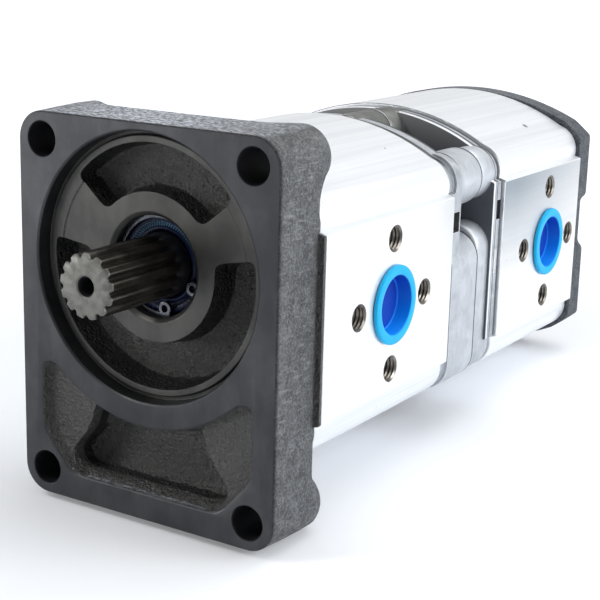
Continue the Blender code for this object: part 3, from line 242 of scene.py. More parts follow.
def loft(name, loops, caps=True, closed=False):
    count, rows = len(loops[0]), len(loops)
    points = [p for loop in loops for p in loop]
    faces = []
    for row in range(rows if closed else rows - 1):
        a, b = row * count, (row + 1) % rows * count
        for i in range(count):
            j = (i + 1) % count
            faces.append((a + i, a + j, b + j, b + i))
    if caps and not closed:
        faces.append(tuple(reversed(range(count))))
        faces.append(tuple(range((rows - 1) * count, rows * count)))
    return buildPiece(name, points, faces)


def level(outline, y):
    return [(x, y, z) for x, z in outline]


def stacked(name, outline, steps):
    # the outline at several places along the shaft, each (y, how far it is moved outwards)
    return loft(name, [level(grown(outline, amount) if amount else outline, y) for y, amount in steps])


def turned(name, profile, steps, centre=(0, 0), side=0, closed=False, phase=0.0):
    # profile of (radius, place along the axis), which is the shaft's way, or X where a side is given
    loops = []
    for radius, place in profile:
        ring = circle(centre, radius, steps, phase)
        loops.append([(side * place, u, v) if side else (u, place, v) for u, v in ring])
    return loft(name, loops, caps=False, closed=closed)


def rod(radius, start, end, centre=(0, 0), steps=48):
    return turned("rod", [(0, start), (radius, start), (radius, end), (0, end)], steps, centre, phase=0.05)


def tieHoles(start, end):
    return [rod(holes["tie"], start - 1, end + 1, spot, 28) for spot in tiePlaces]


def dowelHoles(start, end):
    return [rod(holes["dowel"], start, end, spot, 20) for spot in dowelPlaces]


def slab(low, high):
    xs, ys, zs = zip(low, high)
    points = [(x, y, z) for x in xs for y in ys for z in zs]
    faces = [(0, 1, 3, 2), (4, 6, 7, 5), (0, 4, 5, 1), (2, 3, 7, 6), (0, 2, 6, 4), (1, 5, 7, 3)]
    return buildPiece("slab", points, faces)


def sideSlab(side, inner, ySpan, zSpan):
    # a block that reaches out of one side of the pump
    low, high = sorted((side * inner, side * (bodySide + 1.8)))
    return slab((low, ySpan[0], zSpan[0]), (high, ySpan[1], zSpan[1]))


def settle(item):
    # its modifiers' result becomes its mesh
    bpy.context.view_layer.update()
    graph = bpy.context.evaluated_depsgraph_get()
    mesh = bpy.data.meshes.new_from_object(item.evaluated_get(graph))
    old = item.data
    item.modifiers.clear()
    item.data = mesh
    bpy.data.meshes.remove(old)


def carve(base, cuts=(), joins=(), keeps=()):
    # joins are added first, then cuts are taken away, then only what lies inside keeps stays
    for tools, operation in ((joins, "UNION"), (cuts, "DIFFERENCE"), (keeps, "INTERSECT")):
        for tool in tools:
            step = base.modifiers.new(tool.name, "BOOLEAN")
            step.operation = operation
            step.solver = "EXACT"
            step.object = tool
    settle(base)
    for tool in (*joins, *cuts, *keeps):
        discard(tool)
    return base


def together(name, items):
    # several closed solids in one object
    work = bmesh.new()
    for item in items:
        work.from_mesh(item.data)
        discard(item)
    return addMesh(name, work)


def dress(item, name, node, looks, choose=None, sharp=32, body="housing"):
    # looks are names of finishes, and choose gives one of them from a face's middle and normal
    item.name = name
    mesh = item.data
    mesh.name = name
    mesh.materials.clear()
    for look in looks:
        mesh.materials.append(finishes[look])
    for face in mesh.polygons:
        middle = face.center * 1000 - origin
        face.material_index = looks.index(choose(middle, face.normal)) if choose else 0
    mesh.shade_smooth()
    mesh.set_sharp_from_angle(angle=radians(sharp))
    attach(item, body)
    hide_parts(node)


# shader maths

class Value:
    # a node's output that can stand in a sum
    def __init__(self, look, socket):
        self.look = look
        self.socket = socket

    def maths(self, operation, first, second):
        return self.look.node("ShaderNodeMath", {"operation": operation}, {0: first, 1: second})

    def __add__(self, other):
        return self.maths("ADD", self, other)

    def __radd__(self, other):
        return self.maths("ADD", other, self)

    def __sub__(self, other):
        return self.maths("SUBTRACT", self, other)

    def __rsub__(self, other):
        return self.maths("SUBTRACT", other, self)

    def __mul__(self, other):
        return self.maths("MULTIPLY", self, other)

    def __rmul__(self, other):
        return self.maths("MULTIPLY", other, self)

    def __pow__(self, other):
        return self.maths("POWER", self, other)


class Look:
    # the nodes of one material, or of the world
    def __init__(self, name, home=None):
        self.home = home or bpy.data.materials.new(name)
        self.home.use_nodes = True
        self.tree = self.home.node_tree
        self.tree.nodes.clear()

    def node(self, kind, settings=None, sockets=None, out=0):
        made = self.tree.nodes.new(kind)
        for key, value in (settings or {}).items():
            setattr(made, key, value)
        for key, value in (sockets or {}).items():
            if isinstance(value, Value):
                self.tree.links.new(value.socket, made.inputs[key])
            elif isinstance(value, tuple) and made.inputs[key].type == "RGBA":
                made.inputs[key].default_value = (*value, 1.0)
            else:
                made.inputs[key].default_value = value
        return Value(self, made.outputs[out])

    def spot(self):
        # position in the model's metres
        return self.node("ShaderNodeTexCoord", out="Object")

    def normal(self):
        return self.node("ShaderNodeNewGeometry", out="Normal")

    def part(self, vector, letter):
        return self.node("ShaderNodeSeparateXYZ", {}, {"Vector": vector}, out=letter)

    def place(self, stretch=(1, 1, 1)):
        # the position, stretched before it feeds a pattern
        return self.node("ShaderNodeMapping", {}, {"Vector": self.spot(), "Scale": stretch})

    def noise(self, scale, detail, rough, where=None, distortion=0.0):
        sockets = {"Scale": scale, "Detail": detail, "Roughness": rough, "Distortion": distortion}
        sockets["Vector"] = where or self.place()
        return self.node("ShaderNodeTexNoise", {}, sockets, out="Fac")

    def band(self, value, low, high, least=0.0, most=1.0):
        # value carried from low..high to least..most
        return self.node(
            "ShaderNodeMapRange", {"clamp": True},
            {"Value": value, "From Min": low, "From Max": high, "To Min": least, "To Max": most},
        )

    def mix(self, share, first, second):
        return self.node("ShaderNodeMix", {"data_type": "RGBA"}, {0: share, 6: first, 7: second}, out=2)

    def measure(self, operation, *vectors):
        # a vector's length, or the distance between two
        sockets = dict(enumerate(vectors))
        return self.node("ShaderNodeVectorMath", {"operation": operation}, sockets, out="Value")

    def awayFrom(self, y):
        # metres along the pump from a plane across it
        offset = self.part(self.spot(), "Y") - (y + origin.y) * 0.001
        return self.node("ShaderNodeMath", {"operation": "ABSOLUTE"}, {0: offset})

    def softEdge(self, radius):
        return self.node("ShaderNodeBevel", {"samples": 4}, {"Radius": radius})

    def bump(self, height, distance, strength, edge):
        # the height's relief on normals that turn softly round the edges
        return self.node("ShaderNodeBump", {}, {
            "Height": height, "Distance": distance, "Strength": strength, "Normal": self.softEdge(edge),
        })

    def close(self, shader, kind):
        output = self.tree.nodes.new(kind)
        self.tree.links.new(shader.socket, output.inputs["Surface"])
        return self.home

    def finish(self, sockets):
        return self.close(self.node("ShaderNodeBsdfPrincipled", {}, sockets), "ShaderNodeOutputMaterial")


# finishes

# each skin's top colour is a painted highlight for upward faces
ironSkins = {
    "front": {
        "dark": (0.080, 0.082, 0.085),
        "light": (0.215, 0.222, 0.23),
        "speck": (0.42, 0.43, 0.44),
        "top": (0.66, 0.70, 0.78),
        "grain": 1300,
        "depth": 0.0005,
        "strokes": 0.28,
    },
    "rear": {
        "dark": (0.055, 0.061, 0.070),
        "light": (0.165, 0.180, 0.200),
        "speck": (0.22, 0.235, 0.25),
        "top": (0.24, 0.26, 0.29),
        "grain": 1500,
        "depth": 0.0003,
        "strokes": 0,
    },
}


def castIron(name, skin):
    # sand-cast skin: coarse lumps, a fine grain, bright rubbed specks and short dressing strokes
    look = Look(name)
    lumps = look.noise(300, 3, 0.6)
    grain = look.noise(skin["grain"], 4, 0.7)
    fine = look.noise(skin["grain"] * 2.7, 2, 0.6)
    height = lumps * 0.6 + grain * 0.9 + fine * 0.35
    colour = look.mix(look.band(grain * 0.8 + lumps * 0.6, 0.58, 0.98), skin["dark"], skin["light"])
    colour = look.mix(look.band(fine * grain, 0.31, 0.40) * 0.35, colour, skin["speck"])
    if skin["strokes"]:
        marks = look.noise(1.0, 2, 0.5, look.place((260, 190, 1150)), 0.35)
        patches = look.band(look.noise(70, 2, 0.5), 0.38, 0.54)
        height = height + marks * 0.6
        colour = look.mix(look.band(marks, 0.58, 0.68) * patches * skin["strokes"], colour, skin["speck"])
    # painted highlight: upward faces glitter in the skin's top colour, most of all near the middle
    across = look.part(look.spot(), "X")
    highlightAcross = look.band(across, -0.040, -0.020, 0.5, 1.0) * look.band(across, -0.004, 0.040, 1.0, 0.45)
    glitter = look.band(look.noise(skin["grain"], 3, 0.7, look.place((0.45, 1, 1))), 0.44, 0.60)
    upward = look.band(look.part(look.normal(), "Z"), 0.9, 0.99)
    colour = look.mix(upward * glitter * highlightAcross, colour, skin["top"])
    # painted shade: a dark strip runs along the front edge, where the rounded edge mirrors a dark room
    behind = look.part(look.spot(), "Y") - frontFace
    colour = look.mix(look.band(behind, 0.00025, 0.00145, 0.75, 0.0), colour, (0.02, 0.02, 0.022))
    rough = look.band(grain, 0.3, 0.7, 0.72, 0.50)
    return look.finish({
        "Base Color": colour, "Roughness": rough, "Metallic": 0.6, "Specular IOR Level": 0.25,
        "Normal": look.bump(height, skin["depth"], 1.0, 0.0009),
    })


def oiledIron(name, dark, light, shine):
    # a raw cast hollow under old oil: nearly black, with glints where its lumps face the light
    look = Look(name)
    lumps = look.noise(430, 2, 0.5)
    grain = look.noise(1150, 3, 0.6)
    colour = look.mix(look.band(grain, 0.38, 0.68), dark, light)
    rough = look.band(lumps, 0.3, 0.7, 0.26, 0.38)
    normal = look.bump(lumps * 0.6 + grain, 0.0014, 1.0, 0.0006)
    return look.finish({
        "Base Color": colour, "Roughness": rough, "Specular IOR Level": shine, "Normal": normal,
    })


def machinedIron(name, base, brighter, rings):
    # a milled or turned face under a thin oil film, with a few scratches
    look = Look(name)
    if rings:
        across, upright = look.part(look.spot(), "X"), look.part(look.spot(), "Z") - shaftHeight
        radius = (across * across + upright * upright) ** 0.5
        lines = look.noise(1.0, 2, 0.6, look.node("ShaderNodeCombineXYZ", {}, {"X": radius * 5200.0}))
    else:
        lines = look.noise(1.0, 3, 0.6, look.place((900, 900, 2600)))
    cloud = look.noise(55, 4, 0.62)
    smear = look.noise(160, 3, 0.6, look.place((1, 1, 0.35)))
    colour = look.mix(look.band(cloud * 0.7 + smear * 0.5, 0.50, 0.82), base, brighter)
    rough = look.band(lines, 0.3, 0.75, 0.36, 0.50)
    return look.finish({
        "Base Color": colour, "Roughness": rough, "Metallic": 0.8, "Specular IOR Level": 0.25,
        "Normal": look.bump(lines, 0.00002, 0.5, 0.0004),
    })


def plainMetal(name, base, second, roughness, metallic, scale=260, shine=0.5):
    # ground or turned metal with slight cloudiness
    look = Look(name)
    cloud = look.noise(scale, 4, 0.6)
    colour = look.mix(look.band(cloud, 0.35, 0.7), base, second)
    rough = look.band(cloud, 0.3, 0.7, roughness * 0.85, roughness * 1.15)
    return look.finish({
        "Base Color": colour, "Roughness": rough, "Metallic": metallic, "Specular IOR Level": shine,
        "Normal": look.bump(look.noise(scale * 9, 2, 0.6), 0.00001, 0.6, 0.0003),
    })


def mirroredRoom(look, colour):
    # the milled pads dim towards their upper rear, as they do where they mirror a darker part of the room
    alongPump, height = look.part(look.spot(), "Y"), look.part(look.spot(), "Z")
    dim = look.band(height, 0.050, 0.086) * look.band(alongPump, -0.030, 0.036)
    return look.mix(dim * look.band(alongPump, 0.050, 0.105, 1.0, 0.55), colour, (0.26, 0.30, 0.34))


def crownMarks(look, colour):
    # dark lines where the crowns end at the adapter, and one small pit
    upward = look.band(look.part(look.normal(), "Z"), 0.25, 0.55)
    crown = upward * look.band(look.noise(180, 3, 0.6), 0.35, 0.5, 0.45, 0.9)
    for end in (along["frontBody"][1] - 0.25, along["rearBody"][0] + 0.2):
        line = look.band(look.awayFrom(end), 0.00025, 0.00055, 1.0, 0.0) * crown
        colour = look.mix(line, colour, (0.10, 0.11, 0.125))
    pit = look.measure("DISTANCE", look.spot(), toMetres((35.6, 176.5, 26.4)))
    return look.mix(look.band(pit, 0.0006, 0.0014, 0.95, 0.0), colour, (0.06, 0.065, 0.07))


def extrudedAluminium(name, base, strength, pitted, marks):
    # bright drawn surface: fine lines along the pump, faint streaks and tiny pits
    look = Look(name)
    lines = look.noise(1.0, 4, 0.65, look.place((1700, 7, 1700)))
    streaks = look.noise(1.0, 3, 0.6, look.place((240, 3, 240)))
    pits = look.noise(620, 2, 0.5, look.place((1, 0.5, 1)))
    colour = look.mix(look.band(streaks, 0.46, 0.70) * strength, base, (0.68, 0.70, 0.74))
    colour = look.mix(look.band(lines, 0.57, 0.75) * strength * 0.5, colour, (0.52, 0.55, 0.60))
    colour = look.mix(look.band(pits, 0.76, 0.80) * pitted, colour, (0.35, 0.36, 0.38))
    return look.finish({
        "Base Color": marks(look, colour), "Metallic": 0.6,
        "Roughness": look.band(lines, 0.3, 0.7, 0.30, 0.44),
        "Normal": look.bump(lines * 0.7 + streaks * 0.6, 0.00003, 0.5, 0.0003),
    })


# thin lines on the adapter: place along the shaft, half width, colour and
# whether the line shows on the crown alone
shadow, glint = (0.035, 0.038, 0.045), (0.90, 0.92, 0.95)
partingLines = [(119.3, 0.55, shadow, False), (120.15, 0.22, glint, False)]
rimLines = [
    (97.4, 0.50, shadow, False), (99.4, 0.55, shadow, True), (105.3, 0.50, shadow, True),
    (128.7, 0.30, glint, False), (130.7, 0.26, shadow, False), (133.7, 0.42, shadow, False),
]


def castAluminium(name, dark, light, lines):
    # dull die casting, slightly mottled, with flow marks, edges painted bright in patches as highlights, and
    # thin lines
    look = Look(name)
    cloud = look.noise(110, 5, 0.65, distortion=0.8)
    marks = look.noise(260, 3, 0.6, look.place((1, 2.2, 0.6)))
    fine = look.noise(2400, 2, 0.6)
    colour = look.mix(look.band(cloud, 0.34, 0.66), dark, light)
    colour = look.mix(look.band(marks, 0.58, 0.76) * 0.3, colour, (0.22, 0.235, 0.26))
    # painted highlight: rounded edges turn bright in patches
    edge = look.measure("DISTANCE", look.softEdge(0.00035), look.normal())
    brighter = look.band(edge, 0.10, 0.34) * look.band(marks, 0.35, 0.55, 0.55, 1.0)
    colour = look.mix(brighter, colour, (0.88, 0.90, 0.93))
    onCrown = look.band(look.part(look.normal(), "Z"), 0.5, 0.95)
    narrower = 1.0 - onCrown * 0.64  # on the crown the same lines are broader
    for y, half, tone, crownOnly in lines:
        share = look.band(look.awayFrom(y) * narrower, half * 0.0006, half * 0.001, 1.0, 0.0)
        colour = look.mix(share * onCrown if crownOnly else share, colour, tone)
    return look.finish({
        "Base Color": colour, "Roughness": look.band(marks, 0.3, 0.7, 0.38, 0.52), "Metallic": 0.7,
        "Normal": look.bump(cloud * 0.3 + marks * 0.3 + fine * 0.12, 0.00014, 0.5, 0.0004),
    })


def shadedWall():
    # the adapter's inner walls: grey near the open top, nearly dark lower down
    look = Look("shadedWall")
    cloud = look.band(look.noise(90, 4, 0.6), 0.3, 0.7)
    colour = look.mix(cloud, (0.100, 0.107, 0.125), (0.125, 0.132, 0.150))
    nearTop = look.band(look.part(look.spot(), "Z"), 0.097, 0.1105)
    colour = look.mix(nearTop, colour, (0.33, 0.34, 0.33))
    return look.finish({"Base Color": colour, "Roughness": 0.7, "Metallic": 0.3, "Specular IOR Level": 0.2})


def softPlastic(name, base, second, roughness):
    look = Look(name)
    cloud = look.noise(180, 3, 0.6)
    return look.finish({
        "Base Color": look.mix(look.band(cloud, 0.3, 0.7), base, second),
        "Roughness": look.band(cloud, 0.3, 0.7, roughness - 0.05, roughness + 0.08),
        "Normal": look.bump(look.noise(1400, 2, 0.5), 0.00002, 0.4, 0.0004), "Specular IOR Level": 0.15,
    })


def shadedCupPlastic(name, low, high):
    # inside a plug, painted shade: deep blue under the upper lip, clearer blue lower down
    look = Look(name)
    colour = look.mix(look.band(look.part(look.spot(), "Z"), 0.054, 0.068), low, high)
    return look.finish({"Base Color": colour, "Roughness": 0.5, "Specular IOR Level": 0.2})


def ribHighlightRubber(name, dark, light, ribs):
    # the seal's outer lip: a painted highlight on its fine radial ribs above the shaft
    look = Look(name)
    across, upright = look.part(look.spot(), "X"), look.part(look.spot(), "Z") - shaftHeight
    angle = look.node("ShaderNodeMath", {"operation": "ARCTAN2"}, {0: upright, 1: across})
    wave = look.node("ShaderNodeMath", {"operation": "SINE"}, {0: angle * ribs})
    colour = look.mix(look.band(wave, -0.4, 0.8) * look.band(upright, 0.0015, 0.0085), dark, light)
    return look.finish({"Base Color": colour, "Roughness": 0.4, "Specular IOR Level": 0.3})


finishes = {
    "cast": castIron("castIron", ironSkins["front"]),
    "rear": castIron("rearIron", ironSkins["rear"]),
    "pocket": oiledIron("pocketIron", (0.012, 0.011, 0.010), (0.040, 0.039, 0.036), 1.0),
    # painted shade: the hollows' walls are nearly black
    "pocketWallShade": oiledIron("pocketWallShade", (0.002, 0.002, 0.002), (0.008, 0.008, 0.008), 0.35),
    "face": machinedIron("machinedFace", (0.046, 0.048, 0.052), (0.075, 0.077, 0.081), False),
    "floor": machinedIron("turnedFloor", (0.052, 0.052, 0.050), (0.090, 0.089, 0.084), True),
    # painted shade: a near-black finish for hole walls, bores, the shaft's run-out and the bolt seats
    "bore": plainMetal("boreShade", (0.006, 0.006, 0.009), (0.014, 0.014, 0.017), 0.6, 0.1, shine=0.15),
    "extruded": extrudedAluminium("extrudedAluminium", (0.84, 0.86, 0.885), 0.75, 1.0, crownMarks),
    "pad": extrudedAluminium("milledPad", (0.885, 0.88, 0.875), 0.25, 0.3, mirroredRoom),
    "bored": plainMetal("boredAluminium", (0.62, 0.61, 0.59), (0.48, 0.47, 0.45), 0.28, 1.0),
    "thread": plainMetal("tappedAluminium", (0.26, 0.24, 0.215), (0.08, 0.072, 0.065), 0.30, 1.0),
    "adapter": castAluminium("castAluminium", (0.43, 0.455, 0.49), (0.56, 0.59, 0.63), partingLines),
    "rim": castAluminium("castRim", (0.34, 0.36, 0.39), (0.55, 0.58, 0.62), rimLines),
    "vent": castAluminium("ventBoss", (0.11, 0.115, 0.108), (0.17, 0.175, 0.165), partingLines),
    "inner": shadedWall(),
    # painted highlight: the small slot in the rear rim shows near-white
    "glintSlot": plainMetal("paintedSlotGlint", (0.93, 0.94, 0.95), (0.88, 0.89, 0.90), 0.5, 0.0),
    "notch": plainMetal("notchShade", (0.055, 0.062, 0.075), (0.075, 0.083, 0.097), 0.8, 0.0, shine=0.1),
    "spline": plainMetal("splineSteel", (0.030, 0.028, 0.024), (0.062, 0.058, 0.049), 0.34, 0.85, 140),
    "shaftEnd": plainMetal("shaftEndSteel", (0.165, 0.165, 0.150), (0.100, 0.100, 0.092), 0.45, 0.6, 420),
    "ground": plainMetal("groundSteel", (0.42, 0.40, 0.37), (0.34, 0.32, 0.30), 0.25, 1.0),
    "sleeve": plainMetal("sleeveSteel", (0.26, 0.25, 0.24), (0.20, 0.19, 0.18), 0.4, 1.0),
    "block": plainMetal("blockAluminium", (0.66, 0.67, 0.69), (0.56, 0.57, 0.60), 0.38, 1.0),
    "bush": plainMetal("bushBronze", (0.55, 0.38, 0.18), (0.45, 0.29, 0.14), 0.35, 1.0),
    "seal": softPlastic("sealRubberBlue", (0.002, 0.005, 0.022), (0.004, 0.010, 0.040), 0.30),
    "sealRib": ribHighlightRubber("sealRibHighlights", (0.002, 0.006, 0.022), (0.11, 0.22, 0.33), 84.0),
    "ring": softPlastic("ringRubberBlack", (0.015, 0.015, 0.016), (0.022, 0.022, 0.022), 0.55),
    "clip": plainMetal("springSteel", (0.13, 0.135, 0.15), (0.07, 0.075, 0.085), 0.28, 1.0),
    "bolt": plainMetal("blackBolt", (0.035, 0.034, 0.034), (0.06, 0.058, 0.056), 0.42, 0.7, 420),
    "plugRim": softPlastic("plugAzure", (0.01, 0.38, 0.72), (0.015, 0.41, 0.76), 0.42),
    # painted shade inside the plug's cup, with a painted highlight along the floor's edge
    "plugCupShade": shadedCupPlastic("plugWallShade", (0.0, 0.24, 0.82), (0.0, 0.052, 0.45)),
    "plugFloorShade": shadedCupPlastic("plugFloorShade", (0.0, 0.055, 0.42), (0.0, 0.030, 0.34)),
    "plugLineHighlight": shadedCupPlastic("plugLineHighlight", (0.02, 0.30, 0.90), (0.02, 0.16, 0.75)),
}
print("finishes made:", len(finishes))


# front cover with its mounting flange

cover = {
    "halfWidth": 45.3,
    "top": 41.3,
    "bottom": -74.8,
    "corner": 8.5,
    "thickness": 18.2,
    "draft": 0.9,
    "pilotRadius": 38.9,
    "pilotDepth": 4.0,
    "grooveInner": 37.5,
    "grooveDepth": 5.4,
    "ringInner": 32.8,
    "floorDepth": 4.3,
    "boreMouth": 16.1,
    "sealBore": 14.8,
    "sealSeat": 16.5,
    "clipGroove": (15.7, 7.4, 9.05),
    "shaftBore": 9.8,
    "hubRadius": 21.6,
    "pocketOuter": 35.5,
    "upperPocket": {"start": radians(39.0), "end": radians(138.5), "depth": 6.8, "lean": 0.9},
    "lowerPocket": {"start": radians(172.5), "end": radians(371.0), "depth": 9.0, "lean": 1.1},
    "tapDepth": 7.7,
}
apron = {
    "radius": 46.4, "half": 37.7, "topHalf": 29.4, "drop": 54.0, "foot": 26.3, "bottom": 66.5,
    "shoulder": (33.2, -33.1),
    "steps": [(-1.0, -0.9), (0.0, -0.6), (0.2, -0.25), (0.6, 0.0), (1.5, 0.35), (2.2, 0.95), (2.6, 1.8)],
}
trough = {
    "radius": 47.2, "half": 28.8, "topHalf": 19.0, "drop": 60.0, "foot": 25.5, "bottom": 65.7,
    "waist": (21.8, -52.0),
    "steps": [(-0.8, -0.9), (1.9, -0.8), (2.5, -0.4), (3.4, 0.0), (6.0, 0.5), (8.8, 1.1), (10.0, 1.8),
              (10.8, 2.9), (11.0, 4.2)],
}


def flangeOutline():
    halfWidth, top, bottom, radius = (cover[key] for key in ("halfWidth", "top", "bottom", "corner"))
    outline = []
    centres = (
        (halfWidth - radius, top - radius), (radius - halfWidth, top - radius),
        (radius - halfWidth, bottom + radius), (halfWidth - radius, bottom + radius),
    )
    for quarter, centre in enumerate(centres):
        outline += arc(centre, radius, quarter * pi / 2, (quarter + 1) * pi / 2, 12)
    return outline


def flangeRelief():
    # what is cut away behind the flange, with a flaring boss left round each mounting hole
    space = slab((-60, cover["thickness"], -95), (60, 30, 62))
    profile = [
        (0, 16.0), (15.2, 16.0), (15.2, 18.1), (13.9, 18.35), (12.4, 18.9), (11.1, 19.9), (10.0, 21.4),
        (9.3, 23.0), (8.9, 24.2), (8.5, 25.1), (7.7, 25.8), (6.9, 26.2), (6.9, 32.0), (0, 32.0),
    ]
    return carve(space, [turned("bossShape", profile, 64, spot) for spot in flangeHoles])


def pocket(shape):
    # a cast pocket's hollow: leaning walls and a round foot
    front, lean = cover["floorDepth"], shape["lean"]
    floor = front + shape["depth"]
    steps = [
        (front - 2.0, 0.0), (front, 0.0), (front + shape["depth"] * 0.45, lean * 0.4), (floor - 1.7, lean),
        (floor - 0.8, lean + 0.35), (floor - 0.25, lean + 0.95), (floor, lean + 1.9),
    ]
    inner, outer = cover["hubRadius"], cover["pocketOuter"]
    loops = []
    for y, inset in steps:
        turn = inset / (inner + outer) * 2
        start, end = shape["start"] + turn, shape["end"] - turn
        loops.append(level(ringSector(inner + inset, outer - inset, start, end, 3.4, 2.2), y))
    return loft("pocket", loops)


def apronOutline(shape, inset):
    # below the pilot: a hollow arc on top, straight sides and a foot with its corners cut
    radius, topHalf = shape["radius"] + inset, shape["topHalf"] - inset * 0.4
    half, drop = shape["half"] - inset, shape["drop"] - inset * 0.4
    foot, bottom = shape["foot"] - inset * 0.6, shape["bottom"] - inset
    reach = asin(topHalf / radius)
    bow = arc((0, 0), radius, reach - pi / 2, -reach - pi / 2, 24)
    if "shoulder" in shape:
        bend, top = shape["shoulder"]
        right = [(bend - inset * 0.4, top - inset), (half, top - inset)]
    else:
        waist, waistZ = shape["waist"]
        right = [(waist - inset, waistZ)]
    right += [(half, -drop), (foot, -bottom)]
    left = [(-x, z) for x, z in right]
    path = bow[-2:] + left + right[::-1] + bow[:2]
    return bow[1:-1] + roundCorners(path, 4.0, 0.46, 6)


def makeFrontCover():
    c = cover
    draft, floor = c["draft"], c["floorDepth"]
    plate = stacked("frontCover", flangeOutline(), [
        (0.0, -0.35), (0.3, 0.0), (9.0, draft * 0.55), (c["thickness"], draft), (24.8, draft),
        (25.5, draft - 0.3), (26.0, draft - 1.0),
    ])
    seat = stacked("coverSeat", bodyOutline(), [(c["thickness"] - 0.3, 0.0), (20.0, 0.0)])
    bodySpace = stacked("bodySpace", grown(bodyOutline(), 0.6), [(along["coverEnd"], 0.0), (28.0, 0.0)])
    shaftBore, bore, ring, groove, pilot = (
        c[key] for key in ("shaftBore", "sealBore", "ringInner", "grooveInner", "pilotRadius")
    )
    clip, clipStart, clipEnd = c["clipGroove"]
    recess = turned("faceRecess", [
        (0, 20.5), (shaftBore, 20.5), (shaftBore, c["sealSeat"]), (bore, c["sealSeat"]),
        (bore, clipEnd), (clip, clipEnd), (clip, clipStart), (bore, clipStart),
        (bore, 5.5), (15.2, 5.0), (15.9, 4.45), (c["boreMouth"], floor), (ring, floor),
        (ring + 0.15, c["pilotDepth"]), (groove - 0.3, c["pilotDepth"]),
        (groove, c["pilotDepth"] + 0.3), (groove, c["grooveDepth"] - 0.2), (groove + 0.25, c["grooveDepth"]),
        (pilot - 0.2, c["grooveDepth"]), (pilot, c["grooveDepth"] - 0.25), (pilot, 0.5), (pilot + 0.6, -0.1),
        (pilot + 1.5, -1.0), (0, -1.0),
    ], 160)
    hollows = [pocket(c["upperPocket"]), pocket(c["lowerPocket"])]
    for name, shape in (("apron", apron), ("trough", trough)):
        hollows.append(loft(name, [level(apronOutline(shape, inset), y) for y, inset in shape["steps"]]))
    wide = holes["flange"]
    bore = [(0, -1), (wide + 0.9, -1), (wide + 0.3, 0), (wide, 0.35), (wide, 28), (0, 28)]
    mounting = [turned("flangeHole", bore, 64, spot) for spot in flangeHoles]
    tapped = [rod(holes["tie"], c["tapDepth"], 21.0, spot, 24) for spot in tiePlaces]
    carve(plate, [flangeRelief()])
    item = carve(plate, [bodySpace, recess, *hollows, *mounting, *tapped, *dowelHoles(14.2, 21.0)], [seat])

    def chooseFace(spot, normal):
        far = hypot(spot.x, spot.z)
        facesFront = normal.y < -0.8
        # painted shade: the seat's sides take the pockets' dark finish
        if c["thickness"] - 0.4 < spot.y < along["coverEnd"] + 0.1 and abs(spot.x) > 46.25:
            return "pocket"  # the seat's sides
        # painted shade: the walls of the mounting holes
        if min(hypot(spot.x - x, spot.z - z) for x, z in flangeHoles) < 5.6 and abs(normal.y) < 0.9:
            return "bore"
        if facesFront and 9.6 < spot.y < 16.0:  # the deepest floors
            return "pocket"
        inHollow = spot.y > 4.7 and (20.0 < far < 36.0 or spot.z < -44.0) and abs(spot.x) < 37
        # painted shade: walls inside the hollows take the near-black finish
        if normal.y > -0.45 and inHollow:
            return "pocketWallShade"
        # painted shade: inside the seal bore
        if far < 16.3:
            return "bore" if far < 14.0 or abs(normal.y) < 0.5 else "floor"
        if facesFront and spot.y < 0.4:
            return "face"
        if far < 40.0 and spot.y < 5.6 and (facesFront or far > 37.3):  # the recess and its groove
            return "floor" if spot.y > 3.9 else "face"
        if far < 35.6 and 4.2 < spot.y < 15:
            return "pocket"
        if 0.2 < spot.y < 12 and -66.5 < spot.z < -30 and abs(spot.x) < 38:  # apron and trough
            return "pocket"
        return "cast"

    looks = ("cast", "face", "floor", "bore", "pocket", "pocketWallShade")
    dress(item, "frontCover", "front_cover", looks, chooseFace)


makeFrontCover()
print("front cover made")


# shaft seal and its circlip

seal = {"outer": 14.5, "lip": 9.8, "front": 9.2, "length": 7.0, "ribs": 54, "ribHeight": 0.16}


def makeShaftSeal():
    s = seal
    front, back = s["front"], s["front"] + s["length"]
    profile = [
        (s["outer"], back), (s["outer"], front + 0.8), (14.2, front + 0.25), (13.8, front), (12.6, front),
        (12.3, front + 0.2), (12.0, front + 0.9), (11.5, front + 1.1), (11.1, front + 0.7),
        (10.7, front + 0.35), (10.2, front + 0.4), (9.85, front + 0.9), (s["lip"], front + 1.3),
        (10.2, front + 2.2), (9.82, front + 3.4), (10.4, front + 4.6), (11.4, back - 0.6),
        (12.6, front + 3.2), (13.2, back),
    ]
    loops = []
    for number, (radius, y) in enumerate(profile):
        ring = []
        for i in range(s["ribs"] * 4):
            angle = 2 * pi * i / (s["ribs"] * 4)
            rib = s["ribHeight"] * cos(angle * s["ribs"]) if number in (2, 3) else 0.0
            ring.append((radius * cos(angle), y + rib, radius * sin(angle)))
        loops.append(ring)
    item = loft("shaftSeal", loops, caps=False, closed=True)

    def chooseFace(spot, normal):
        # painted highlight on the ribbed part of the lip
        return "sealRib" if 11.1 < hypot(spot.x, spot.z) < 12.5 and spot.y < front + 2 else "seal"

    dress(item, "shaftSeal", "shaft_seal", ("seal", "sealRib"), chooseFace, sharp=50)


circlip = {
    "outer": 15.4, "inner": 13.7, "ear": 2.1, "earHole": 1.1, "gapAt": -53.0, "gap": 46.0, "back": 8.9,
    "thickness": 1.2,
}


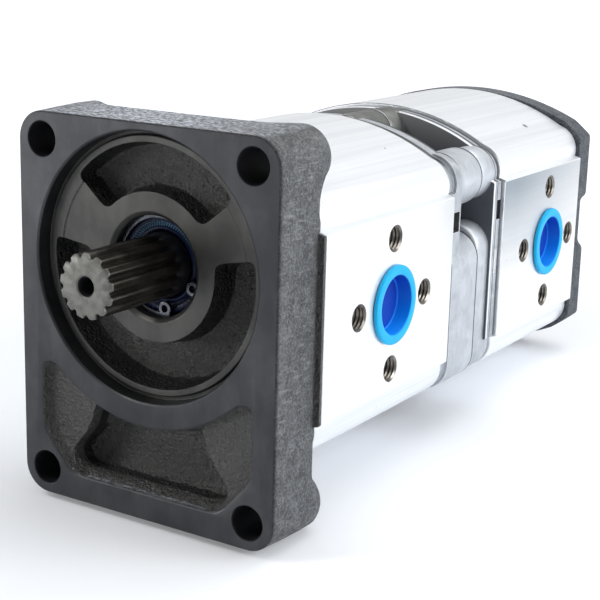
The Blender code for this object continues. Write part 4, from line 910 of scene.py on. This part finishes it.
def makeCirclip():
    c = circlip
    middle = c["inner"] - c["ear"] * 0.55
    turn = acos((middle ** 2 + c["inner"] ** 2 - c["ear"] ** 2) / (2 * middle * c["inner"]))
    last = atan2(-c["inner"] * sin(turn), c["inner"] * cos(turn) - middle) + 2 * pi
    edge = [(hypot(x, z), atan2(z, x)) for x, z in arc((middle, 0), c["ear"], radians(50), last, 24)]
    start = radians(c["gapAt"] + c["gap"] / 2)
    end = radians(c["gapAt"] - c["gap"] / 2) + 2 * pi
    lean = c["ear"] * 0.6 / middle
    ears = (start + lean, end - lean)
    band = arc((0, 0), c["outer"], start, end, 90)
    band += [polar(radius, ears[1] + angle) for radius, angle in edge]
    band += arc((0, 0), c["inner"], ears[1] - turn, ears[0] + turn, 80)[1:-1]
    band += [polar(radius, ears[0] - angle) for radius, angle in reversed(edge)]
    front, back = c["back"] - c["thickness"], c["back"]
    steps = [(front, -0.1), (front + 0.1, 0), (back - 0.1, 0), (back, -0.1)]
    item = stacked("sealCirclip", thinned(band), steps)
    carve(item, [rod(c["earHole"], front - 1, back + 1, polar(middle, ear), 28) for ear in ears])
    dress(item, "sealCirclip", "seal_circlip", ("clip",))


makeShaftSeal()
makeCirclip()
print("seal and circlip made")


# bodies with their ports

inletPort = {"side": 1, "radius": 10.0, "boltCircle": 20.0, "boltRadius": 4.0, "minor": 3.35, "pitch": 1.25}
outletPort = {"side": -1, "radius": 7.5, "boltCircle": 17.5, "boltRadius": 3.0, "minor": 2.5, "pitch": 1.0}
portDepth = {"boreEnd": 8.0, "thread": 13.0, "threadStart": 0.45, "chamfer": 0.3, "edge": 0.22}


def portTools(port, y):
    # a bore into the gear chamber and four tapped holes with their thread ridges
    chamfer, pitch, minor = portDepth["chamfer"], port["pitch"], port["minor"]
    radius, out = port["radius"], bodySide + 1
    bore = [
        (0, out), (radius + chamfer, out), (radius + chamfer, bodySide), (radius, bodySide - chamfer),
        (radius, portDepth["boreEnd"]), (0, portDepth["boreEnd"]),
    ]
    thread = [(0, out), (port["boltRadius"] + 0.15, out), (port["boltRadius"] + 0.15, bodySide)]
    depth = portDepth["threadStart"]
    while depth < portDepth["thread"]:
        thread.append((minor, bodySide - depth - pitch * 0.08))
        thread.append((port["boltRadius"] - 0.15, bodySide - depth - pitch * 0.5))
        thread.append((minor, bodySide - depth - pitch * 0.92))
        depth += pitch
    thread.append((0, bodySide - depth - minor * 0.5))
    tools = [turned("portBore", bore, 72, (y, middleZ), port["side"])]
    for quarter in range(4):
        centre = polar(port["boltCircle"], quarter * pi / 2, (y, middleZ))
        tools.append(turned("boltHole", thread, 36, centre, port["side"]))
    return tools


def makeBody(name, node, span, portY):
    start, end = span
    edge = portDepth["edge"]
    item = stacked(name, bodyOutline(), [(start, -edge), (start + edge, 0), (end - edge, 0), (end, -edge)])
    tools = portTools(inletPort, portY) + portTools(outletPort, portY)
    tools.append(stacked("gearChamber", figureEight(holes["gearRoom"], 40), [(start - 1, 0), (end + 1, 0)]))
    carve(item, tools + tieHoles(start, end))

    def chooseFace(spot, normal):
        if abs(spot.x) > bodySide - 0.01:
            return "pad"
        port = inletPort if spot.x > 0 else outletPort
        y, z = spot.y - portY, spot.z - middleZ
        away = hypot(y, z)
        if abs(spot.x) > 18:
            if away < port["radius"] + 0.6 and abs(normal.x) < 0.95:
                return "bored"
            if abs(away - port["boltCircle"]) < 4.3 and min(abs(y), abs(z)) < 4.2:
                return "thread"
        return "extruded"

    looks = ("extruded", "bored", "thread", "pad")
    dress(item, name, node, looks, chooseFace)


makeBody("frontBody", "front_body", along["frontBody"], along["frontPort"])
makeBody("rearBody", "rear_body", along["rearBody"], along["rearPort"])
print("bodies made")


# adapter in two halves

adapter = {
    "inset": 0.8,
    "hub": 18.5,
    "shaftHole": 9.6,
    "sleeveHole": 11.6,
    "ventPlace": (4.5, middleZ + 41.2),
    "ventBoss": 7.5,
    "ventHole": 3.8,
    "notchZ": (middleZ + 14.3, middleZ + 20.9),
    "slotY": (131.1, 132.7),
    "slotZ": (middleZ - 4.0, middleZ + 4.0),
    "slotInner": 46.5,
}
frontHalf = {
    "rim": 9.0, "sideInset": 1.4, "lobe": 9.4, "lowerTop": 2.4,
    "notchInner": 43.0, "notchReach": 45.9,
}
rearHalf = {
    "rim": 5.6, "sideInset": 0.3, "lobe": 8.8, "lowerTop": 4.8,
    "notchInner": 44.6, "notchReach": 47.0,
}


def columnOutline(spot, top, radius):
    # a lower column reaches up to a rounded top, an upper one is round
    x, z = spot
    if z > middleZ:
        return circle(spot, radius, 56)
    return arc((x, top), radius, 0, pi, 28) + arc((x, z), radius, pi, 2 * pi, 28)


def makeAdapterHalf(name, node, span, half):
    a = adapter
    start, end = span
    front = half is frontHalf
    rimStart, rimEnd = (start, start + half["rim"]) if front else (end - half["rim"], end)
    item = stacked(name, bodyOutline(a["inset"], half["sideInset"]), [
        (rimStart, -0.3), (rimStart + 0.3, 0), (rimEnd - 0.3, 0), (rimEnd, -0.3),
    ])
    outlines = [columnOutline(spot, middleZ + half["lowerTop"], half["lobe"]) for spot in tiePlaces]
    outlines += [circle((0, 0), a["hub"], 64), circle(a["ventPlace"], a["ventBoss"], 48)]
    # each column starts inside its rim and has a small chamfer at the parting
    if front:
        steps = [(start + 4, 0), (rimEnd - 0.6, 0), (end - 0.2, 0), (end, -0.2)]
        notch, sleeve, vent = (start - 1, start + 8.2), (start + 4, end + 1), (end - 4, end + 1)
    else:
        steps = [(start, -0.75), (start + 0.25, -0.3), (start + 0.75, 0), (rimStart + 0.6, 0), (end - 2.6, 0)]
        notch, sleeve, vent = (end - 3.0, end - 0.35), (start - 1, end - 4), (start - 1, start + 4)
    joins = [stacked("column", outline, steps) for outline in outlines]
    cuts = [rod(a["shaftHole"], start - 1, end + 1), rod(a["sleeveHole"], *sleeve), *tieHoles(start, end)]
    for side in (1, -1):
        cuts.append(sideSlab(side, half["notchInner"], notch, a["notchZ"]))
        if not front:
            cuts.append(sideSlab(side, a["slotInner"], a["slotY"], a["slotZ"]))
    cuts.append(rod(a["ventHole"], *vent, a["ventPlace"], 40))
    carve(item, cuts, joins)

    def chooseFace(spot, normal):
        def within(value, span, margin=0.1):
            return span[0] - margin < value < span[1] + margin

        inNotch = within(spot.y, notch) and within(spot.z, a["notchZ"])
        # painted shade: the deep front notch takes the vent boss's dark finish
        if inNotch and half["notchInner"] - 0.1 < abs(spot.x) < half["notchReach"]:
            return "vent" if front else "notch"
        # painted highlight: the slot's faces are near-white
        inSlot = within(spot.y, a["slotY"]) and within(spot.z, a["slotZ"])
        if not front and inSlot and a["slotInner"] - 0.1 < abs(spot.x) < 47.0:
            return "glintSlot"
        ventX, ventZ = a["ventPlace"]
        if hypot(spot.x - ventX, spot.z - ventZ) < a["ventBoss"] + 0.3 and within(spot.y, span):
            return "vent"
        if abs(normal.y) > 0.9 and abs(spot.y - (rimEnd if front else rimStart)) < 0.1:
            return "inner"
        return "rim" if within(spot.y, (rimStart, rimEnd), 0.01) and spot.z > middleZ else "adapter"

    looks = ("adapter", "rim", "notch", "vent", "inner", "glintSlot")
    dress(item, name, node, looks, chooseFace)


makeAdapterHalf("adapterFront", "adapter_front", along["frontHalf"], frontHalf)
makeAdapterHalf("adapterRear", "adapter_rear", along["rearHalf"], rearHalf)
print("adapter made")


# rear cover

rearCover = {
    "blockX": 47.5, "blockZ": 34.7, "cutX": 6.2, "cutZ": 5.0,
    "notchDepth": 2.0, "notchRise": 1.7, "notchHalf": 9.25,
    "padHalf": 21.0, "padStraight": 14.0, "padRise": 2.5, "seatRadius": 8.6, "seatDepth": 4.2,
}


def rearOutline():
    # the bodies' crown between corners cut off, and a shallow notch in each side
    r = rearCover
    blockX, blockZ = r["blockX"], r["blockZ"]
    cut = (blockX - r["cutX"], blockZ + r["cutZ"])
    crown = crownArc(extrusion["height"] / 2, cut, 24)
    high, low = r["notchRise"] + r["notchHalf"], r["notchRise"] - r["notchHalf"]
    inner = blockX - r["notchDepth"]
    path = crown[-2:] + [
        (blockX, blockZ), (blockX, high + 1), (inner, high - 1), (inner, low + 1), (blockX, low - 1),
        (blockX, -blockZ), (cut[0], -cut[1]), (crown[-2][0], -crown[-2][1]),
    ]
    return fourfold(crown[:-2], roundCorners(path, 1.2, 0.45, 4))


def makeRearCover():
    r = rearCover
    start, end = along["rearCover"]
    item = stacked("rearCover", rearOutline(), [
        (start, -0.3), (start + 0.3, 0), (end - 1.3, 0), (end - 0.6, -0.25), (end - 0.15, -0.75), (end, -1.4),
    ])
    half, straight, top = r["padHalf"], r["padStraight"], end + r["padRise"]
    pad = arc((0, straight), half, 0, pi, 32) + arc((0, -straight), half, pi, 2 * pi, 32)
    boss = stacked("backPad", [(x, z + middleZ) for x, z in pad], [
        (end - 2, 1.2), (end - 0.1, 1.2), (end + 0.5, 0.3), (top - 0.9, 0), (top - 0.25, -0.4), (top, -1.1),
    ])
    seats = [rod(r["seatRadius"], end - r["seatDepth"], end + 3, spot, 56) for spot in tiePlaces]
    cuts = [tool for pair in zip(seats, tieHoles(start, end)) for tool in pair]
    carve(item, cuts + dowelHoles(start - 1, start + 4.8), [boss])

    def chooseFace(spot, normal):
        # painted shade: the bolt seats round the heads
        nearHead = min(hypot(spot.x - x, spot.z - z) for x, z in tiePlaces) < r["seatRadius"] + 0.1
        return "bore" if nearHead and spot.y < end - 0.1 else "rear"

    dress(item, "rearCover", "rear_cover", ("rear", "bore"), chooseFace)


makeRearCover()
print("rear cover made")


# drive shaft and front gear

gearPair = {
    "teeth": 12, "centres": holes["gearCentres"], "pressure": radians(25), "backlash": 0.3, "dedendum": 1.22,
    "span": (44.35, 72.35), "flankSteps": 8,
}
spline = {
    "teeth": 13, "outer": 9.2, "root": 7.9, "end": -24.3, "runOut": 5.2, "perTooth": 16, "sharpness": 5.2,
    "space": 0.30,
}
coupling = {"teeth": 9, "root": 6.3, "outer": 7.5, "span": (100.4, 112.6), "rootHalf": 0.34, "tipHalf": 0.26}
shaftSteps = [(18.2, 9.5), (19.0, 9.0), (100.9, 9.0), (100.9, 6.3), (112.6, 6.3), (113.4, 5.5), (113.4, 0.0)]
centreHole = [(9.0, 0.0), (8.0, 2.3), (0.9, 2.4), (0.25, 2.8), (0.0, 3.2)]


def gearOutline(toothAt):
    g = gearPair
    pitch = g["centres"] / 2
    module = g["centres"] / g["teeth"]
    tip, root = pitch + module, pitch - g["dedendum"] * module
    base = pitch * cos(g["pressure"])
    involute = tan(g["pressure"]) - g["pressure"]
    half = (pi * module / 2 - g["backlash"]) / 2 / pitch
    lowest = max(base, root)
    flank = []
    for i in range(g["flankSteps"]):
        radius = lowest + (tip - lowest) * i / (g["flankSteps"] - 1)
        angle = acos(min(1.0, base / radius))
        flank.append((radius, half + involute - (tan(angle) - angle)))
    side = [(root, flank[0][1] + 0.25 * (pi / g["teeth"] - flank[0][1]))] + flank
    outline = []
    for tooth in range(g["teeth"]):
        middle = toothAt + 2 * pi * tooth / g["teeth"]
        outline += [polar(radius, middle - angle) for radius, angle in side]
        outline += [polar(radius, middle + angle) for radius, angle in reversed(side)]
    return outline


def splineRadius(angle):
    # rounded teeth with narrow round-bottomed spaces
    s = spline

    def lift(wave):
        return 1 / (1 + exp(-s["sharpness"] * (wave + s["space"])))

    share = (lift(cos((angle - pi / 2) * s["teeth"])) - lift(-1)) / (lift(1) - lift(-1))
    return s["root"] + (s["outer"] - s["root"]) * share


def couplingOutline():
    # keys that drive the sleeve between the two sections
    c = coupling
    pitch = 2 * pi / c["teeth"]
    key = [(c["root"], -c["rootHalf"]), (c["outer"], -c["tipHalf"]), (c["outer"], 0)]
    key += [(c["outer"], c["tipHalf"]), (c["root"], c["rootHalf"])]
    return [
        polar(radius, pi / 2 + (tooth + share) * pitch)
        for tooth in range(c["teeth"]) for radius, share in key
    ]


def makeDriveGear():
    s = spline
    count = s["teeth"] * s["perTooth"]
    angles = [2 * pi * i / count for i in range(count)]
    rows = []

    def ring(y, radiusAt):
        # radiusAt is a number, or a function of the angle
        radii = [radiusAt(angle) if callable(radiusAt) else radiusAt for angle in angles]
        rows.append(level([polar(radius, angle) for radius, angle in zip(radii, angles)], y))

    for depth, radius in centreHole:
        ring(s["end"] + depth, radius)
    ring(s["end"], lambda angle: min(splineRadius(angle), s["outer"] - 0.55) - 0.2)
    ring(s["end"] + 0.2, lambda angle: min(splineRadius(angle), s["outer"] - 0.35))
    ring(s["end"] + 0.7, splineRadius)
    ring(s["runOut"], splineRadius)
    for step in range(1, 7):
        share = sin(step / 6 * pi / 2)
        place = s["runOut"] + 3.6 * (step / 6) ** 1.4
        ring(place, lambda angle: splineRadius(angle) * (1 - share) + 9.4 * share)
    ring(s["runOut"] + 4.0, 9.5)
    for y, radius in shaftSteps:
        ring(y, radius)
    core = loft("driveShaft", rows, caps=False)
    start, end = gearPair["span"]
    steps = [(start, -0.2), (start + 0.25, 0), (end - 0.25, 0), (end, -0.2)]
    gear = stacked("driveTeeth", gearOutline(-pi / 2), steps)
    keys = stacked("couplingKeys", couplingOutline(), [(y, 0) for y in coupling["span"]])
    item = together("driveGearFront", [core, gear, keys])

    def chooseFace(spot, normal):
        inHole = hypot(spot.x, spot.z) <= 2.9
        if spot.y < s["end"] + 0.6 and not inHole:
            return "shaftEnd"
        # painted shade: the spline's run-out and the centre hole take the near-black bore finish
        if spot.y < s["runOut"] + 4.2:
            return "spline" if not inHole and spot.y < s["runOut"] + 0.1 else "bore"
        return "ground"

    looks = ("spline", "shaftEnd", "bore", "ground")
    dress(item, "driveGearFront", "drive_gear_front", looks, chooseFace, body="drive_train")


makeDriveGear()
print("drive shaft made")


# plugs, tie bolts and washers

plugSize = {"overhang": 2.1, "rim": 1.2, "wall": 0.7, "cup": 4.8, "length": 10.0, "gap": 0.3}


def makePlug(name, node, port, y):
    p = plugSize
    outer = port["radius"] - p["gap"]
    inner = outer - p["wall"]
    rim = port["radius"] + p["overhang"]
    seat = bodySide + p["gap"]
    top = seat + p["rim"]
    floor = top - p["cup"]
    inside = bodySide - p["length"]
    profile = [
        (0, floor), (inner - 0.7, floor), (inner - 0.45, floor + 0.1), (inner - 0.3, floor + 0.4),
        (inner - 0.02, top - 0.45), (inner + 0.12, top - 0.15), (inner + 0.42, top), (rim - 0.45, top),
        (rim - 0.15, top - 0.12), (rim, top - 0.4), (rim, seat + 0.1), (rim - 0.1, seat), (outer, seat),
        (outer - 0.35, inside), (inner - 0.35, inside), (inner, floor - p["wall"]), (0, floor - p["wall"]),
    ]
    item = turned(name, profile, 96, (y, middleZ), port["side"])

    def chooseFace(spot, normal):
        # the cup's walls and floor are painted in shade, and the ring where the floor meets the wall as a
        # highlight
        away, depth = hypot(spot.y - y, spot.z - middleZ), abs(spot.x) - floor
        if away > inner + 0.1 or depth < -0.1:
            return "plugRim"
        if away < inner - 0.8:
            return "plugFloorShade"
        return "plugCupShade" if depth > 0.45 else "plugLineHighlight"

    looks = ("plugRim", "plugCupShade", "plugFloorShade", "plugLineHighlight")
    dress(item, name, node, looks, chooseFace, sharp=40)


for way, port in (("inlet", inletPort), ("outlet", outletPort)):
    for end in ("Front", "Rear"):
        makePlug(f"{way}Plug{end}", f"{way}_plug_{end.lower()}", port, along[f"{end.lower()}Port"])

boltSize = {"start": 8.0, "radius": 4.0, "flats": 13.0, "headStart": 210.3, "headEnd": 215.6}
washerSize = {"outer": 8.0, "hole": 4.3, "start": 208.4, "end": 210.0}


def makeTieBolts():
    b, w = boltSize, washerSize
    corner = b["flats"] / 2 / cos(pi / 6)
    headStart, headEnd, radius = b["headStart"], b["headEnd"], b["radius"]
    crownProfile = [
        (0, headStart - 1), (corner * 1.2, headStart - 1), (corner * 1.2, headEnd - corner * 0.25),
        (b["flats"] / 2 * 0.93, headEnd), (0, headEnd),
    ]
    shankProfile = [
        (0, b["start"]), (radius - 0.8, b["start"]), (radius, b["start"] + 0.8), (radius, headStart + 2),
        (0, headStart + 2),
    ]
    washerProfile = [
        (w["outer"], w["end"] - 0.1), (w["outer"], w["start"] + 0.2), (w["outer"] - 0.2, w["start"]),
        (w["hole"], w["start"]), (w["hole"], w["end"]), (w["outer"] - 0.2, w["end"]),
    ]
    for number, spot in enumerate(tiePlaces, 1):
        head = stacked("boltHead", circle(spot, corner, 6, 0.0), [(headStart, 0), (headEnd, 0)])
        carve(head, keeps=[turned("headCrown", crownProfile, 64, spot)])
        bolt = together("tieBolt", [head, turned("boltShank", shankProfile, 32, spot)])
        dress(bolt, f"tieBolt{number}", f"tie_bolt_{number}", ("bolt",))
        ring = turned("washer", washerProfile, 56, spot, closed=True)
        dress(ring, f"washer{number}", f"washer_{number}", ("bolt",))


makeTieBolts()
print("plugs, bolts and washers made")

# the solids that stay get their own finishes, by how their names start
kept = {
    "bearing_block": "block", "bush_": "bush", "block_seal": "ring", "section_seal": "ring", "dowel_": "clip",
    "coupling_sleeve": "sleeve", "drive_gear_rear": "ground", "driven_gear": "ground",
}
for name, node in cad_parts.items():
    for start, finish in kept.items():
        if name.startswith(start):
            node.data.materials.clear()
            node.data.materials.append(finishes[finish])


# camera, floor, light

camera = {"lens": 86.73, "spot": (245.7, -309.1, 93.9), "azimuth": 32.06, "elevation": 14.46, "roll": 1.56}


def makeCamera():
    turn, lift, roll = (radians(camera[key]) for key in ("azimuth", "elevation", "roll"))
    ahead = Vector((-sin(turn) * cos(lift), cos(turn) * cos(lift), -sin(lift)))
    right = Vector((cos(turn), sin(turn), 0))
    up = right.cross(ahead)
    tiltedRight = cos(roll) * right + sin(roll) * up
    tiltedUp = -sin(roll) * right + cos(roll) * up
    lens = bpy.data.cameras.new("camera")
    lens.lens = camera["lens"]
    lens.sensor_width = 36
    lens.clip_start = 0.01
    item = addObject("camera", lens)
    facing = Matrix((tiltedRight, tiltedUp, -ahead)).transposed().to_4x4()
    item.matrix_world = Matrix.Translation(toMetres(camera["spot"])) @ facing
    bpy.context.scene.camera = item


floorSize = {"half": 4000.0, "frontTouch": (18.2, -75.7), "rearTouch": (212.3, -63.0), "below": 0.05}


def makeFloor():
    # the pump stands on its flange's edge and its rear cover, so the floor rises a little towards the rear
    (y1, z1), (y2, z2) = floorSize["frontTouch"], floorSize["rearTouch"]
    rise = (z2 - z1) / (y2 - y1)
    spots = []
    for side, end in ((-1, -1), (1, -1), (1, 1), (-1, 1)):
        x, y = side * floorSize["half"], end * floorSize["half"]
        spots.append((x, y, z1 + (y - y1) * rise - floorSize["below"]))
    item = buildPiece("floor", spots, [(0, 1, 2, 3)])
    look = Look("paleFloor")
    cloud = look.band(look.noise(4, 2, 0.5), 0.3, 0.7)
    away = look.band(look.measure("LENGTH", look.spot()), 0.0, 1.1)
    item.data.materials.append(look.finish({
        "Base Color": look.mix(cloud, (0.87, 0.89, 0.93), (0.90, 0.915, 0.945)),
        "Roughness": 0.8, "Specular IOR Level": 0.05,
        # the floor glows as painted light, faintly near the pump and white far off
        "Emission Color": look.mix(away, (0.10, 0.10, 0.10), (1.0, 1.0, 1.0)),  # white far off
        "Emission Strength": 0.70,
    }))


lights = {
    "top": {"spot": (250, 420, 900), "size": 800, "power": 4.0, "colour": (1.0, 0.995, 0.98)},
    "side": {"spot": (900, 220, 420), "size": 700, "power": 6.8, "colour": (0.97, 0.985, 1.0)},
    "high": {"spot": (-420, -380, 580), "size": 220, "power": 2.0, "colour": (1.0, 0.99, 0.97)},
    "left": {"spot": (-700, -500, 90), "size": 300, "power": 2.6, "colour": (1.0, 1.0, 1.0)},
}


def makeLights():
    target = toMetres((0, 90, -20))
    for name, light in lights.items():
        lamp = bpy.data.lights.new(name, "AREA")
        lamp.shape = "DISK"
        lamp.size = light["size"] * 0.001
        lamp.energy = light["power"]
        lamp.color = light["colour"]
        item = addObject(name, lamp)
        item.location = toMetres(light["spot"])
        item.rotation_euler = (target - item.location).to_track_quat("-Z", "Y").to_euler()


# strengths in front and behind, for what the room lights and for its reflections
room = {"tint": (0.93, 0.96, 1.0), "lit": (0.26, 0.44), "mirrored": (0.35, 1.0)}


def makeWorld():
    # a room darker in front of the pump than behind it, and plain white where the camera looks past the pump
    world = bpy.data.worlds.new("studio")
    bpy.context.scene.world = world
    look = Look("studio", world)
    way = look.part(look.node("ShaderNodeTexCoord", out="Generated"), "Y")

    def choose(ray, first, second):
        share = look.node("ShaderNodeLightPath", out=ray)
        return look.node("ShaderNodeMixShader", {}, {0: share, 1: first, 2: second})

    lit, mirrored = (look.band(way, -0.7, 0.4, *room[key]) for key in ("lit", "mirrored"))
    soft = look.node("ShaderNodeBackground", {}, {"Color": room["tint"], "Strength": lit})
    mirror = look.node("ShaderNodeBackground", {}, {"Strength": mirrored})
    white = look.node("ShaderNodeBackground", {}, {"Color": (1.0, 1.0, 1.0), "Strength": 1.0})
    seen = choose("Is Glossy Ray", soft, mirror)
    look.close(choose("Is Camera Ray", seen, white), "ShaderNodeOutputWorld")


makeCamera()
makeFloor()
makeLights()
makeWorld()
bpy.context.scene.view_settings.view_transform = "Standard"
print("camera, floor and light made")
